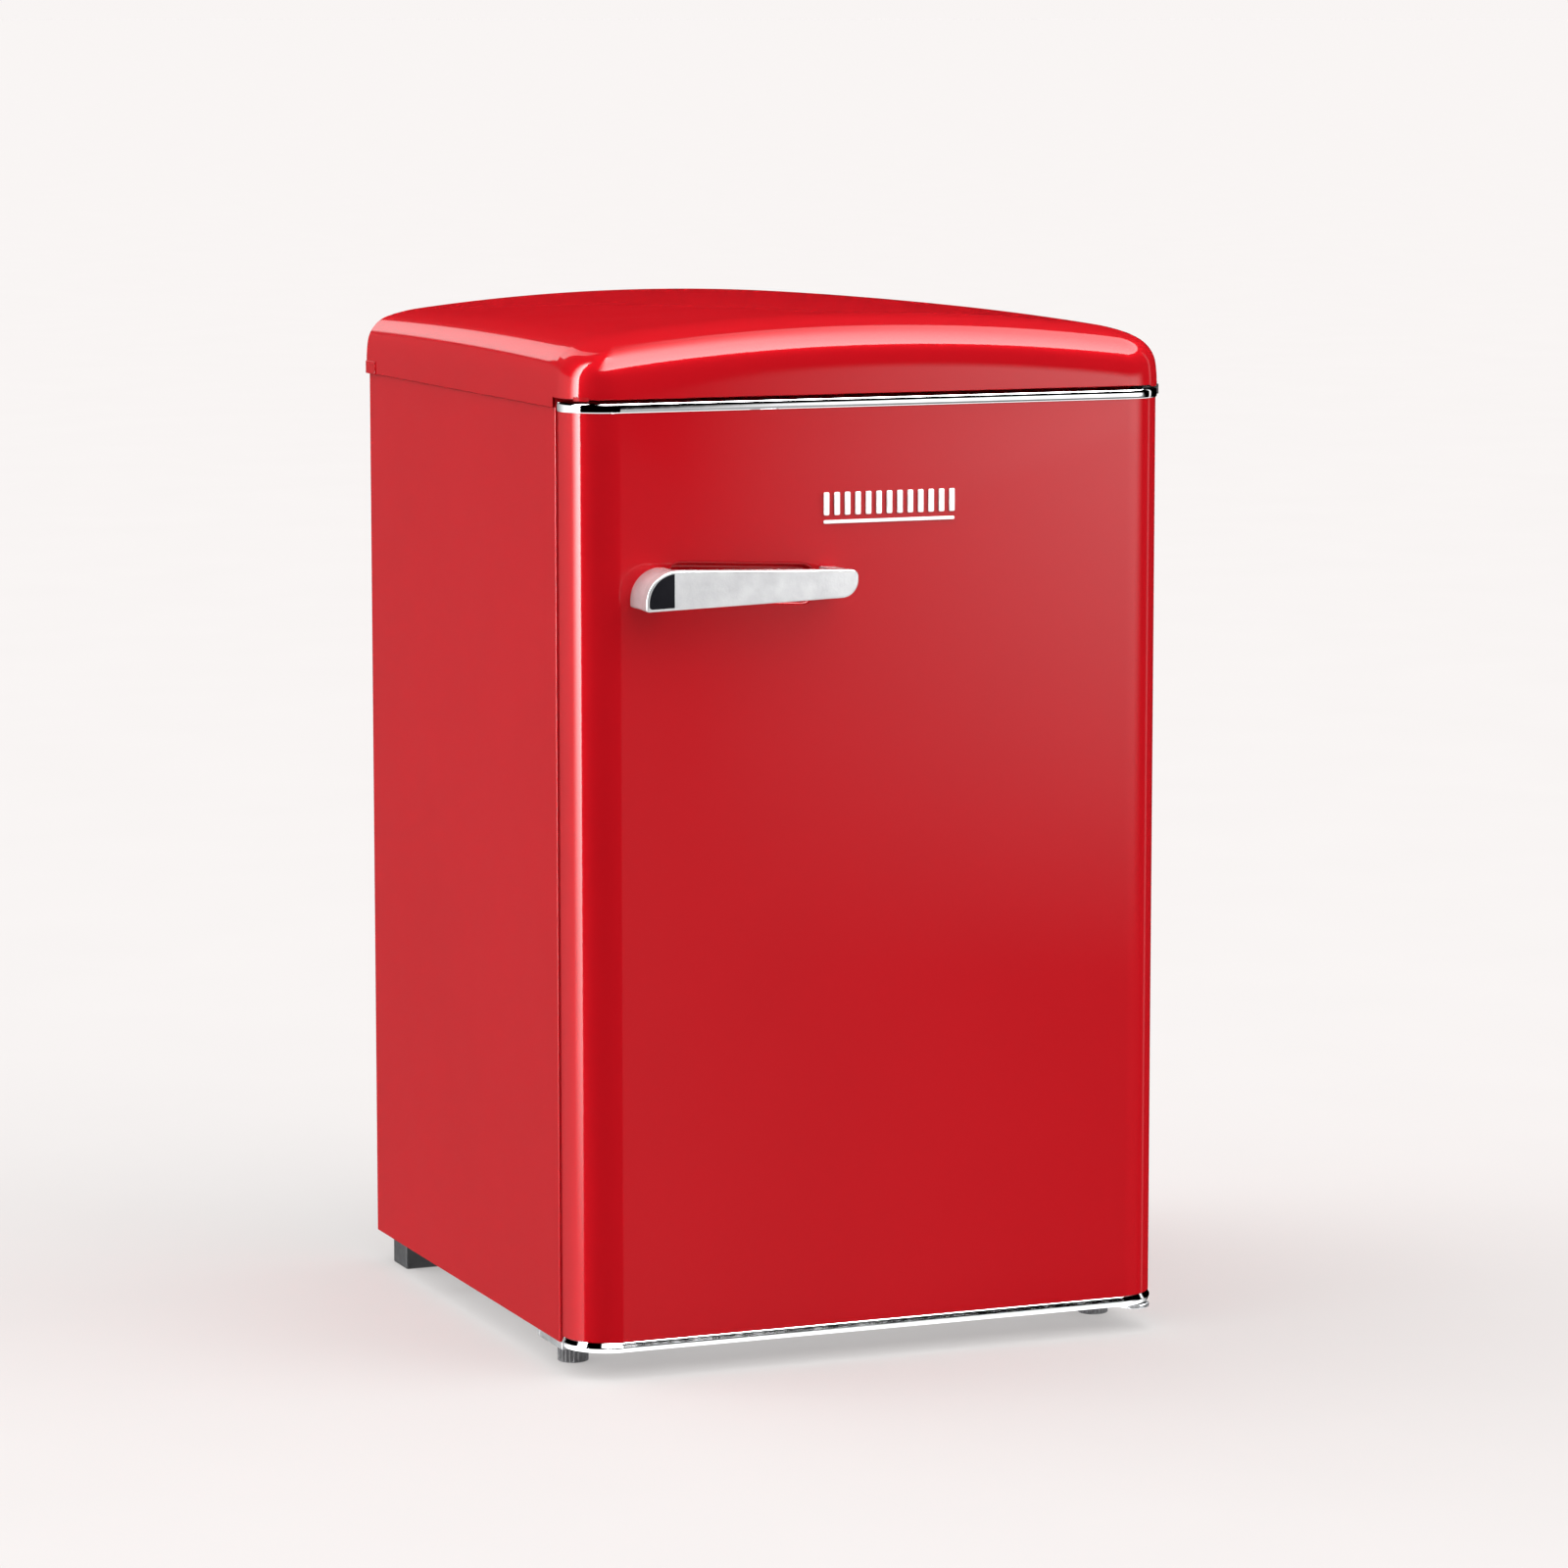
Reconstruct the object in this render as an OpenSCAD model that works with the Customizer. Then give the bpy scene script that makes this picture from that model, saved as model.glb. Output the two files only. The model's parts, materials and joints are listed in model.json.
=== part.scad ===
// Retro under-counter fridge: a foamed steel cabinet under a crowned plastic lid, with one
// right-hinged door, an ice compartment, a crisper, glass shelves and a compressor at the rear.
// Millimetres. +Z is up, -Y is the front, and the origin is on the floor under the middle of
// the overall box.

/* [Overall] */
// Width over the widest part, the tabs at the lid's rear corners
overall_w = 550; // [540:1:560]
// Depth from the handle's face to the rear wall spacers
overall_d = 615; // [600:5:640]
// Height from the floor to the crown of the lid
overall_h = 895; // [885:1:910]

/* [Cabinet] */
// Gap between the floor and the underside of the cabinet
foot_h = 26; // [24:1:30]
// Height of the cabinet's steel top above the floor
cab_top = 830; // [828:1:832]
// Thickness of the side insulation, steel and liner included
side_wall = 41; // [38:1:44]
// Space behind the cabinet for the condenser
rear_space = 30; // [28:1:34]
// Thickness of the painted steel sheets
sheet = 1; // [0.8:0.1:1.2]
// Thickness of the plastic liners
liner_t = 2; // [1.6:0.1:2.4]

/* [Lid] */
// Rise of the lid's crown from its sides to its middle
crown_rise = 20; // [14:1:24]
// Fall of the lid's crown from its rear to its front
lid_fall = 11.5; // [0:0.5:20]
// Radius of the lid's long upper edges
lid_edge_r = 28; // [22:1:30]
// Wall thickness of the lid moulding
lid_t = 1.8; // [1.5:0.1:2]

/* [Door] */
// Width of the door's steel skin
door_w = 545; // [540:1:546]
// Thickness of the door at its edge
door_t = 41.5; // [41:0.5:44]
// Radius of the door's upright front corners
door_r = 40; // [34:1:41]
// Height of the door's lowest edge above the floor
door_z0 = 24; // [22:0.5:25]
// Height of the door's top edge above the floor
door_z1 = 826; // [824:0.5:827]
// Gap that the gasket fills between the door and the cabinet
gasket_gap = 9; // [8:0.5:10]
// How far the handle stands out of the door
handle_proud = 40; // [36:1:44]

/* [Inside] */
// Height of the liner's ceiling above the floor
ceiling_z = 792; // [786:1:794]
// Height of the step over the compressor
step_z = 260; // [240:1:262]
// Thickness of the glass shelves
glass_t = 4; // [3:1:5]

/* [Hidden] */
$fn = 48;
eps = 0.01;
run_clear = 0.05;

// Main planes across the depth
y_door = -overall_d / 2 + handle_proud;
y_flange = y_door + door_t;
y_cab = y_flange + gasket_gap;
y_back = overall_d / 2 - rear_space;

// Cabinet and lid widths
cab_x = overall_w / 2 - 3.2;
lid_x = overall_w / 2 - 1;
tab_x = overall_w / 2;
lid_side_z = 820.5;
lid_front_z = 829;
lid_corner_r = door_r + 1;

// Liner cavity
in_x = cab_x - side_wall;
floor_z = 72;
step_y = 72;
liner_back = y_back - 45;
rim_x = cab_x - 20;

// Door trims, hinge axis and inner liner
trim_proud = 1.2;
top_trim_h = 8;
bottom_trim_h = 9.3;
skin_z0 = door_z0 + bottom_trim_h;
skin_z1 = door_z1 - top_trim_h;
hinge_x = door_w / 2 - 18;
hinge_y = y_flange - 18;
pin_r = 4;
dike_x = 226;
dike_in = 211;
dike_z0 = floor_z + 6;
dike_z1 = ceiling_z - 6;
dike_y = y_cab + 22;
pocket_y = y_flange - 11;
gasket_out = 253;
gasket_w = 14;
gasket_z0 = 52;
gasket_z1 = ceiling_z + 18;

// Handle and grip recess
handle_x0 = -225;
handle_x1 = -35;
grip_x0 = -192;
grip_x1 = -58;
grip_tilt = 2.8;
grip_z = 671;
grip_h = 40;
grip_depth = 14;

// Feet
foot_r = 13.5;
foot_top = 17.5;
stud_r = 5;
foot_x = 246;
foot_y = y_cab + 38;

// Shelf levels: the underside of each pane
shelf_lower = 264;
shelf_cover = 398;
shelf_middle = 526;
shelf_y0 = y_cab + 105;
rail_in = 10;

// Ice compartment
ice_x = 212;
ice_z0 = 660;
ice_z1 = ceiling_z;
ice_y0 = -125;
flap_axis_z = ice_z0 + 17;
flap_axis_y = ice_y0 + 5;
flap_pin_r = 2.5;

// Crisper
crisper_x = 204;
crisper_y0 = y_cab + 105;
crisper_y1 = 176;
crisper_z0 = shelf_lower + glass_t + 2;
crisper_h = 120;

// Thermostat housing, lamp and door switch
stat_x = in_x - 38;
stat_y0 = -150;
stat_y1 = -30;
stat_z0 = 588;
stat_z1 = 650;
dial_y = -65;
dial_z = 619;
dial_shaft_r = 4;
switch_y0 = -186;
switch_z = 640;
switch_x = 219;
plunger_r = 3.5;

// Door racks: [name index, floor height, wall height, depth]
rack_back = pocket_y + 0.5;
bottle_rack = [98, 80, 96];
middle_rack = [415, 58, 78];
upper_rack = [560, 54, 78];
rack_x = 205;

// Compressor bay
bay_y = step_y + 40;
bay_z = step_z - 44;
comp_x = 95;
comp_y = 196;
comp_r = 68;
comp_z0 = 46;
comp_h = 142;
cond_y = y_back + 15;
gland_x = -236;
cond_x = 232;
cond_z0 = 300;
cond_runs = 13;
cond_pitch = 38;
cond_tube_r = 2.4;
wire_r = 0.8;

// ---------------------------------------------------------------- helpers

function unit(v) = v / norm(v);

// The outline of a polygon whose corners are [x, y, radius], with each corner turned into an arc.
function round_corner(a, p, b, r, n) =
    r == 0 ? [p] :
    let (u = unit(a - p), v = unit(b - p), half = acos(u * v) / 2,
         c = p + unit(u + v) * r / sin(half), s = p + u * r / tan(half), e = p + v * r / tan(half),
         a0 = atan2(s[1] - c[1], s[0] - c[0]), a1 = atan2(e[1] - c[1], e[0] - c[0]),
         turn = a1 - a0 > 180 ? a1 - a0 - 360 : a1 - a0 < -180 ? a1 - a0 + 360 : a1 - a0)
    [for (i = [0:n]) c + r * [cos(a0 + turn * i / n), sin(a0 + turn * i / n)]];
function outline(corners, n = 6) = [
    for (i = [0:len(corners) - 1])
        let (k = len(corners), a = corners[(i + k - 1) % k], p = corners[i], b = corners[(i + 1) % k])
        each round_corner([a[0], a[1]], [p[0], p[1]], [b[0], b[1]], p[2], n)
];

// Points along a bent pipe: straight runs joined by arcs of radius r.
function bend(a, p, b, r, n) =
    let (u = unit(a - p), v = unit(b - p), half = acos(u * v) / 2, t = r / tan(half),
         c = p + unit(u + v) * r / sin(half), x = unit(p + u * t - c), w = p + v * t - c,
         y = unit(w - (w * x) * x), turn = 180 - 2 * half)
    [for (i = [0:n]) c + r * (cos(turn * i / n) * x + sin(turn * i / n) * y)];
function route(points, r, n = 5) = concat(
    [points[0]],
    [for (i = [1:len(points) - 2]) each bend(points[i - 1], points[i], points[i + 1], r, n)],
    [points[len(points) - 1]]
);

// A tube swept along points, its rings carried from one to the next without twist.
function tangent(path, i) =
    unit(path[min(i + 1, len(path) - 1)] - path[max(i - 1, 0)]);
function square_to(v, t) = unit(v - (v * t) * t);
function sides_of(path, i, first) =
    i == 0 ? [square_to(first, tangent(path, 0))] :
    let (before = sides_of(path, i - 1, first))
    concat(before, [square_to(before[i - 1], tangent(path, i))]);
module sweep(path, r, sides = 8, first = [0.3, 0.2, 1]) {
    across = sides_of(path, len(path) - 1, first);
    rings = [for (i = [0:len(path) - 1], k = [0:sides - 1])
        let (t = tangent(path, i), a = across[i], b = cross(t, a), q = 360 * k / sides)
        path[i] + r * (cos(q) * a + sin(q) * b)];
    count = len(path);
    skin = [for (i = [0:count - 2], k = [0:sides - 1])
        let (m = (k + 1) % sides)
        [i * sides + k, (i + 1) * sides + k, (i + 1) * sides + m, i * sides + m]];
    start = [for (k = [0:sides - 1]) k];
    finish = [for (k = [sides - 1:-1:0]) (count - 1) * sides + k];
    polyhedron(rings, concat([start, finish], skin));
}

// A box between two corners.
module box(lo, hi) {
    translate(lo) cube(hi - lo);
}

// A rounded rectangle between two corners, with true arcs.
module rounded(lo, hi, r) {
    translate([lo[0] + r, lo[1]]) square([hi[0] - lo[0] - 2 * r, hi[1] - lo[1]]);
    translate([lo[0], lo[1] + r]) square([hi[0] - lo[0], hi[1] - lo[1] - 2 * r]);
    for (x = [lo[0] + r, hi[0] - r], y = [lo[1] + r, hi[1] - r])
        translate([x, y]) circle(r);
}

// A plan outline with round front corners and square rear ones.
module bowed_plan(half_w, y0, y1, r) {
    translate([-half_w + r, y0]) square([2 * (half_w - r), y1 - y0]);
    if (y1 > y0 + r) translate([-half_w, y0 + r]) square([2 * half_w, y1 - y0 - r]);
    for (side = [-1, 1]) intersection() {
        translate([side * (half_w - r), y0 + r]) circle(r);
        translate([side > 0 ? half_w - r : -half_w, y0]) square([r, min(r, y1 - y0)]);
    }
}

// Extrudes an outline drawn in X and Z from y0 to y1.
module along_y(y0, y1) {
    translate([0, y1, 0]) rotate([90, 0, 0]) linear_extrude(y1 - y0) children();
}

// Extrudes an outline drawn in Y and Z from x0 to x1.
module along_x(x0, x1) {
    translate([x0, 0, 0]) rotate([90, 0, 90]) linear_extrude(x1 - x0) children();
}

module rod_x(x0, x1, y, z, r) {
    translate([x0, y, z]) rotate([0, 90, 0]) cylinder(r = r, h = x1 - x0);
}
module rod_y(x, y0, y1, z, r) {
    translate([x, y0, z]) rotate([-90, 0, 0]) cylinder(r = r, h = y1 - y0);
}
module rod_z(x, y, z0, z1, r) {
    translate([x, y, z0]) cylinder(r = r, h = z1 - z0);
}

// ---------------------------------------------------------------- cabinet shell

// One side sheet, folded in at the front to make the face that the gasket meets.
module side_panel(side) {
    x0 = side * cab_x;
    color("firebrick") {
        box([min(x0, x0 - side * sheet), y_cab, foot_h], [max(x0, x0 - side * sheet), y_back, cab_top]);
        box([min(x0 - side * sheet, side * rim_x), y_cab, foot_h],
            [max(x0 - side * sheet, side * rim_x), y_cab + sheet, cab_top]);
    }
}

module top_panel() {
    color("silver") difference() {
        box([-cab_x + sheet, y_cab + sheet, cab_top - sheet], [cab_x - sheet, y_back - sheet, cab_top]);
        for (p = upper_screws) rod_z(p[0], p[1], cab_top - 2, cab_top + 1, 2.5);
    }
}

// Rear sheet above the compressor bay.
module back_panel() {
    color("gainsboro")
        box([-cab_x + sheet, y_back - sheet, bay_z], [cab_x - sheet, y_back, cab_top]);
}

// Folded pan under the foam: floor, bay riser and bay ceiling.
module base_pan() {
    color("silver") difference() {
        along_x(-cab_x + sheet, cab_x - sheet) polygon([
            [y_cab + sheet, foot_h], [bay_y, foot_h], [bay_y, bay_z - sheet],
            [y_back - sheet, bay_z - sheet], [y_back - sheet, bay_z], [bay_y - sheet, bay_z],
            [bay_y - sheet, foot_h + sheet], [y_cab + sheet, foot_h + sheet]
        ]);
        for (x = [-foot_x, foot_x])
            rod_z(x, foot_y, foot_h - 1, foot_h + sheet + 1, 9);
        rod_z(-150, 150, bay_z - 5, bay_z + 5, 9);
    }
}

module front_rail(z0, z1) {
    box([-rim_x, y_cab, z0], [rim_x, y_cab + sheet, z1]);
}
module front_rail_top() {
    color("firebrick") front_rail(ceiling_z + 16, cab_top);
}
module front_rail_bottom() {
    color("firebrick") front_rail(foot_h, floor_z - 16);
}

// The cavity's side profile, moved outward by a wall thickness. It steps over the compressor.
module cavity_profile(out, front) {
    corner = 12 + out;
    polygon(outline([
        [front, floor_z - out, 0], [step_y - liner_t + out, floor_z - out, corner],
        [step_y - liner_t + out, step_z + liner_t - out, out > 0 ? 10 : 12],
        [liner_back - liner_t + out, step_z + liner_t - out, corner],
        [liner_back - liner_t + out, ceiling_z + out, corner], [front, ceiling_z + out, 0]
    ], 5));
}

// One thermoformed shell with a flat rim at the front.
module inner_liner() {
    color("white") difference() {
        union() {
            along_x(-in_x - liner_t, in_x + liner_t) cavity_profile(liner_t, y_cab);
            box([-rim_x, y_cab, floor_z - 16], [rim_x, y_cab + liner_t, ceiling_z + 16]);
        }
        along_x(-in_x, in_x) cavity_profile(0, y_cab - 1);
        rod_z(-150, 150, step_z - 5, step_z + 5, 7);
    }
}

// Rigid foam between the steel shell and the liner.
module cabinet_foam() {
    color("khaki") difference() {
        along_x(-cab_x + sheet, cab_x - sheet) polygon([
            [y_cab + liner_t, foot_h + sheet], [bay_y - sheet, foot_h + sheet], [bay_y - sheet, bay_z],
            [y_back - sheet, bay_z], [y_back - sheet, cab_top - sheet],
            [y_cab + liner_t, cab_top - sheet]
        ]);
        along_x(-in_x - liner_t, in_x + liner_t) cavity_profile(liner_t, y_cab);
        for (x = [-foot_x, foot_x]) rod_z(x, foot_y, foot_h, foot_h + 24, 9);
        rod_z(-150, 150, bay_z - 5, step_z + 5, 9);
        for (p = upper_screws) rod_z(p[0], p[1], cab_top - 20, cab_top, 2.5);
    }
}

// Ledges on both side walls that carry the glass.
module shelf_rails() {
    color("white")
        for (side = [-1, 1], z = [shelf_lower, shelf_cover, shelf_middle])
            box([side > 0 ? in_x - rail_in : -in_x, shelf_y0 - 4, z - 8],
                [side > 0 ? in_x : -in_x + rail_in, z < step_z + 8 ? step_y - liner_t : 184, z]);
}

// ---------------------------------------------------------------- lid

// The lid's solid form, drawn in by a wall thickness: an arched profile that falls towards the
// door, a round front edge and round upright corners.
module lid_block(inset, bottom) {
    half = lid_x - inset;
    crown = [for (i = [6:-1:-6]) let (x = i * lid_x / 7.4)
        [x, overall_h - inset - crown_rise * pow(x / lid_x, 2), 0]];
    side_z = overall_h - inset - crown_rise;
    rear = y_back + 2 - inset;
    front_top = overall_h - lid_fall + 1 - inset;
    intersection() {
        translate([0, y_back + 2, overall_h]) rotate([atan(lid_fall / (y_back - y_door)), 0, 0])
            translate([0, -y_back - 2, -overall_h])
                along_y(y_door - 30, y_back + 30) polygon(outline(concat(
                    [[-half, bottom - 60, 0], [half, bottom - 60, 0],
                    [half, side_z, lid_edge_r - inset]], crown,
                    [[-half, side_z, lid_edge_r - inset]]), 7));
        along_x(-half - 1, half + 1) polygon(outline([
            [y_door + inset, bottom, 0], [rear, bottom, 0], [rear, overall_h + 1, 0],
            [y_door + inset, front_top, lid_edge_r + 2 - inset]], 7));
        translate([0, 0, bottom - 1])
            linear_extrude(overall_h - bottom + 2)
                bowed_plan(half, y_door + inset, y_back + 3, lid_corner_r - inset);
    }
}

// The moulding is hollow and stands on the cabinet's top by crossed ribs.
module lid() {
    color("firebrick") {
        difference() {
            lid_block(0, lid_side_z);
            difference() {
                lid_block(lid_t, lid_side_z - 1);
                for (x = [-180, -60, 60, 180])
                    box([x - 1, y_cab, cab_top], [x + 1, y_back, overall_h]);
                for (y = [-60, 100])
                    box([-lid_x, y - 1, cab_top], [lid_x, y + 1, overall_h]);
            }
            box([-overall_w, y_door - 1, lid_side_z - 1], [overall_w, y_cab, lid_front_z]);
        }
        for (side = [-1, 1])
            translate([side > 0 ? lid_x - eps : -tab_x, y_back - 24, lid_side_z])
                cube([tab_x - lid_x + eps, 26, 11.5]);
    }
}

// ---------------------------------------------------------------- hinges and feet

// A flat hinge leaf with a round nose over the pin and a hole for it.
module leaf(z0, z1, y1, x0, nose_r) {
    difference() {
        union() {
            rod_z(hinge_x, hinge_y, z0, z1, nose_r);
            box([hinge_x - nose_r, hinge_y, z0], [hinge_x + nose_r, y1, z1]);
            box([x0, y_cab + 4, z0], [hinge_x + 14, y1, z1]);
        }
        rod_z(hinge_x, hinge_y, z0 - 1, z1 + 1, pin_r);
    }
}

// Where the hinge screws go through: [x, y].
upper_screws = [
    [hinge_x - 8, y_cab + 28], [hinge_x - 34, y_cab + 28], [hinge_x - 21, y_cab + 52]
];
lower_screws = [[hinge_x - 40, y_cab + 20], [hinge_x - 40, y_cab + 54]];

module upper_hinge_bracket() {
    color("dimgray") difference() {
        union() {
            leaf(cab_top, cab_top + 4, y_cab + 66, hinge_x - 46, 11);
            rod_z(hinge_x, hinge_y, door_z1 + 0.6, cab_top + eps, 11);
        }
        rod_z(hinge_x, hinge_y, door_z1, cab_top + 1, pin_r);
        for (p = upper_screws) rod_z(p[0], p[1], cab_top - 1, cab_top + 5, 2.5);
    }
}

module foot_hole(x) {
    rod_z(x, foot_y, foot_top, foot_h + 1, stud_r + 0.6);
}

module lower_hinge_bracket() {
    color("lightgray") difference() {
        union() {
            leaf(foot_top + 0.5, foot_top + 4.5, y_cab + 64, hinge_x - 56, 14);
            box([hinge_x - 56, y_cab + 4, foot_top + 4.5], [hinge_x + 14, y_cab + 64, foot_h]);
        }
        foot_hole(foot_x);
        for (p = lower_screws) rod_z(p[0], p[1], foot_top, foot_h + 1, 2.5);
    }
}

// The matching plate over the left foot, with no hinge on it.
module foot_plate_left() {
    color("lightgray") difference() {
        box([-hinge_x - 14, y_cab + 4, foot_top + 0.5], [-hinge_x + 56, y_cab + 64, foot_h]);
        foot_hole(-foot_x);
        for (p = lower_screws) rod_z(-p[0], p[1], foot_top, foot_h + 1, 2.5);
    }
}

module hinge_pins() {
    color("silver") {
        rod_z(hinge_x, hinge_y, door_z1 - 20, cab_top + 4, pin_r);
        rod_z(hinge_x, hinge_y, foot_top + 0.5, door_z0 + 20, pin_r);
    }
}

// A pan-head screw pointing down (up = 1) or up (up = -1) from its seat.
module screw(x, y, seat, up, length) {
    low = up > 0 ? seat - length : seat;
    rod_z(x, y, low, low + length, 2);
    rod_z(x, y, up > 0 ? seat : seat - 2.4, up > 0 ? seat + 2.4 : seat, 4.2);
}

module hinge_screws() {
    color("silver") {
        for (p = upper_screws) screw(p[0], p[1], cab_top + 4, 1, 18);
        for (side = [-1, 1], p = lower_screws) 
            screw(side * p[0], p[1], foot_top + 0.5, -1, foot_h - foot_top - 0.5);
    }
}

// Threaded bushes in the pan for the levelling feet.
module foot_inserts() {
    color("silver") for (x = [-foot_x, foot_x]) difference() {
        rod_z(x, foot_y, foot_h, foot_h + 24, 9);
        rod_z(x, foot_y, foot_h - 1, foot_h + 25, stud_r + run_clear);
    }
}

// A levelling foot: a grooved grip on a stud.
module front_foot(x) {
    color("dimgray") {
        difference() {
            rod_z(x, foot_y, 0, foot_top, foot_r);
            for (a = [0:15:345])
                rod_z(x + (foot_r + 0.3) * cos(a), foot_y + (foot_r + 0.3) * sin(a), 3, foot_top + 1, 0.9);
        }
        rod_z(x, foot_y, foot_top - eps, foot_h + 22, stud_r);
    }
}

// A moulded rear foot that closes the pan's rear corner.
module rear_foot(side) {
    x0 = side > 0 ? cab_x - sheet - 46 : -cab_x + sheet + 6;
    color("dimgray") difference() {
        box([x0, 215, 0], [x0 + 40, 253, 26]);
        box([x0 + 6, 221, -1], [x0 + 34, 247, 20]);
    }
}

// ---------------------------------------------------------------- cooling circuit

// A welded hermetic shell: a lower and an upper cup with a flange between them.
module compressor() {
    seam = comp_z0 + comp_h * 0.52;
    color("black") {
        translate([comp_x, comp_y, 0]) rotate_extrude() polygon(concat(
            [[0, comp_z0]],
            outline([[0, comp_z0, 0], [comp_r - 2, comp_z0, 26], [comp_r - 2, seam, 0],
                     [comp_r, seam, 0], [comp_r, seam + 5, 0], [comp_r - 5, seam + 5, 0],
                     [comp_r - 5, comp_z0 + comp_h, 40], [0, comp_z0 + comp_h, 0]], 8)
        ));
    }
}

grommets = [[-58, -40], [58, -40], [-58, 40], [58, 40]];

module compressor_feet() {
    color("black") difference() {
        for (s = [-1, 1]) translate([comp_x, comp_y + s * 40, comp_z0 - 6])
            linear_extrude(5) rounded([-72, -13], [72, 13], 10);
        for (g = grommets) rod_z(comp_x + g[0], comp_y + g[1], comp_z0 - 7, comp_z0 + 1, 6);
    }
    color("black")
        box([comp_x - 20, comp_y - 27, comp_z0 - 6], [comp_x + 20, comp_y + 27, comp_z0]);
}

module compressor_grommets() {
    color("dimgray") for (g = grommets) {
        rod_z(comp_x + g[0], comp_y + g[1], 30, comp_z0 - 6, 10);
        rod_z(comp_x + g[0], comp_y + g[1], comp_z0 - 6, comp_z0 + 2, 6);
    }
}

// The cross member that carries the compressor and ties the side sheets at the rear.
module compressor_rail() {
    color("silver") difference() {
        box([-cab_x + sheet, bay_y + 12, foot_h], [cab_x - sheet, y_back - 6, 30]);
        box([-cab_x + sheet + 70, bay_y + 34, foot_h - 1], [-30, y_back - 26, 31]);
    }
    color("silver") difference() {
        box([-cab_x + sheet, y_back - 8, 30], [cab_x - sheet, y_back - 6, 52]);
        rod_y(gland_x, y_back - 9, y_back - 5, 41, 5);
    }
}

module relay_box() {
    color("black") along_y(comp_y - 24, comp_y + 24)
        polygon(outline([[comp_x - comp_r - 34, 88, 4], [comp_x - comp_r - run_clear, 88, 0],
                         [comp_x - comp_r - run_clear, 146, 0], [comp_x - comp_r - 34, 146, 8]]));
}

// The serpentine: straight runs across the back, joined by half-turns.
module condenser_tube() {
    last = cond_runs - 1;
    turns = [for (i = [0:last])
        let (z = cond_z0 + i * cond_pitch, s = i % 2 == 0 ? 1 : -1)
        each [[-s * (i == 0 ? cond_x - 16 : cond_x), cond_y, z],
              [s * (i == last ? cond_x - 16 : cond_x), cond_y, z]]];
    color("black") sweep(route(turns, cond_pitch / 2 - 0.5, 6), cond_tube_r);
}

module condenser_wires() {
    wires = 24;
    color("black") for (i = [0:wires - 1], s = [-1, 1])
        rod_z(-208 + i * 416 / (wires - 1), cond_y + s * (cond_tube_r + wire_r + 0.02),
              cond_z0 - 14, cond_z0 + (cond_runs - 1) * cond_pitch + 14, wire_r);
}

// Stand-offs that hold the serpentine away from the back, two runs in from each end.
module condenser_brackets() {
    color("black")
        for (x = [-199, 199], z = [cond_z0 + 2 * cond_pitch, cond_z0 + (cond_runs - 3) * cond_pitch])
            difference() {
                box([x - 5, y_back, z - 9], [x + 5, cond_y + 6, z + 9]);
                rod_x(x - 6, x + 6, cond_y, z, cond_tube_r + run_clear);
            }
}

module filter_drier() {
    color("peru") {
        rod_z(-205, 236, 70, 170, 9);
        rod_z(-205, 236, 170 - eps, 182, 3);
        rod_z(-205, 236, 58, 70 + eps, 3);
    }
}

// Discharge line up to the top of the condenser, suction line into the bay's ceiling, and the
// liquid line from the condenser's lowest run down to the drier.
module refrigerant_pipes() {
    top_z = cond_z0 + (cond_runs - 1) * cond_pitch;
    riser_x = cond_x + 12;
    color("peru") {
        sweep(route([[comp_x, comp_y + comp_r - 2.04, 100], [comp_x, cond_y - 6, 100],
                     [riser_x, cond_y - 6, 150], [riser_x, cond_y, 200], [riser_x, cond_y, top_z],
                     [cond_x - 16, cond_y, top_z]], 8, 4), 2.4);
        sweep(route([[comp_x, comp_y - comp_r + 5.06, 134], [comp_x, bay_y + 8, 134],
                     [comp_x, bay_y + 8, bay_z - sheet]], 6, 5), 3.2);
        sweep(route([[-205, 236, 182], [-205, 236, 193], [-205, cond_y, 201],
                     [-riser_x, cond_y, 262], [-riser_x, cond_y, cond_z0],
                     [-cond_x + 16, cond_y, cond_z0]], 8, 4), 2.4);
    }
}

module evaporation_tray() {
    tray_z = bay_z - 26;
    color("black") difference() {
        box([-210, bay_y + 10, tray_z], [-20, bay_y + 110, tray_z + 20]);
        box([-208, bay_y + 12, tray_z + 2], [-22, bay_y + 108, tray_z + 21]);
    }
    color("black") for (x = [-208, -30], y = [bay_y + 10, bay_y + 108])
        box([x, y, tray_z + 20 - eps], [x + 8, y + 2, bay_z - sheet]);
}

// Carries defrost water from the liner's step down into the tray.
module drain_tube() {
    color("white") difference() {
        union() {
            rod_z(-150, 150, bay_z - 14, step_z, 6.9);
            rod_z(-150, 150, step_z + liner_t, step_z + liner_t + 2, 12);
            rod_z(-150, 150, step_z - eps, step_z + liner_t + eps, 6.9);
        }
        rod_z(-150, 150, bay_z - 15, step_z + 10, 5);
    }
}

module rear_spacers() {
    color("black") for (side = [-1, 1], z = [250, 792])
        box([side * 253.4 - 5.6, y_back, z - 12], [side * 253.4 + 5.6, overall_d / 2, z + 12]);
}

// Where the supply lead leaves the terminal box through the bay's rear rail.
module cord_gland() {
    color("black") difference() {
        union() {
            rod_y(gland_x, y_back - 12, y_back + 6, 41, 5);
            rod_y(gland_x, y_back - 6, y_back - 2, 41, 8);
        }
        rod_y(gland_x, y_back - 13, y_back + 7, 41, 3.4);
    }
}

// ---------------------------------------------------------------- inside the cabinet

// The folded evaporator plate: a sleeve closed at the back, hung from the ceiling.
module ice_box() {
    color("whitesmoke") difference() {
        along_y(ice_y0 + 20, liner_back - 20) rounded([-ice_x + 4, ice_z0 + 4], [ice_x - 4, ice_z1], 8);
        along_y(ice_y0 + 19, liner_back - 22) rounded([-ice_x + 6, ice_z0 + 6], [ice_x - 6, ice_z1 - 2], 6);
    }
}

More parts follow.
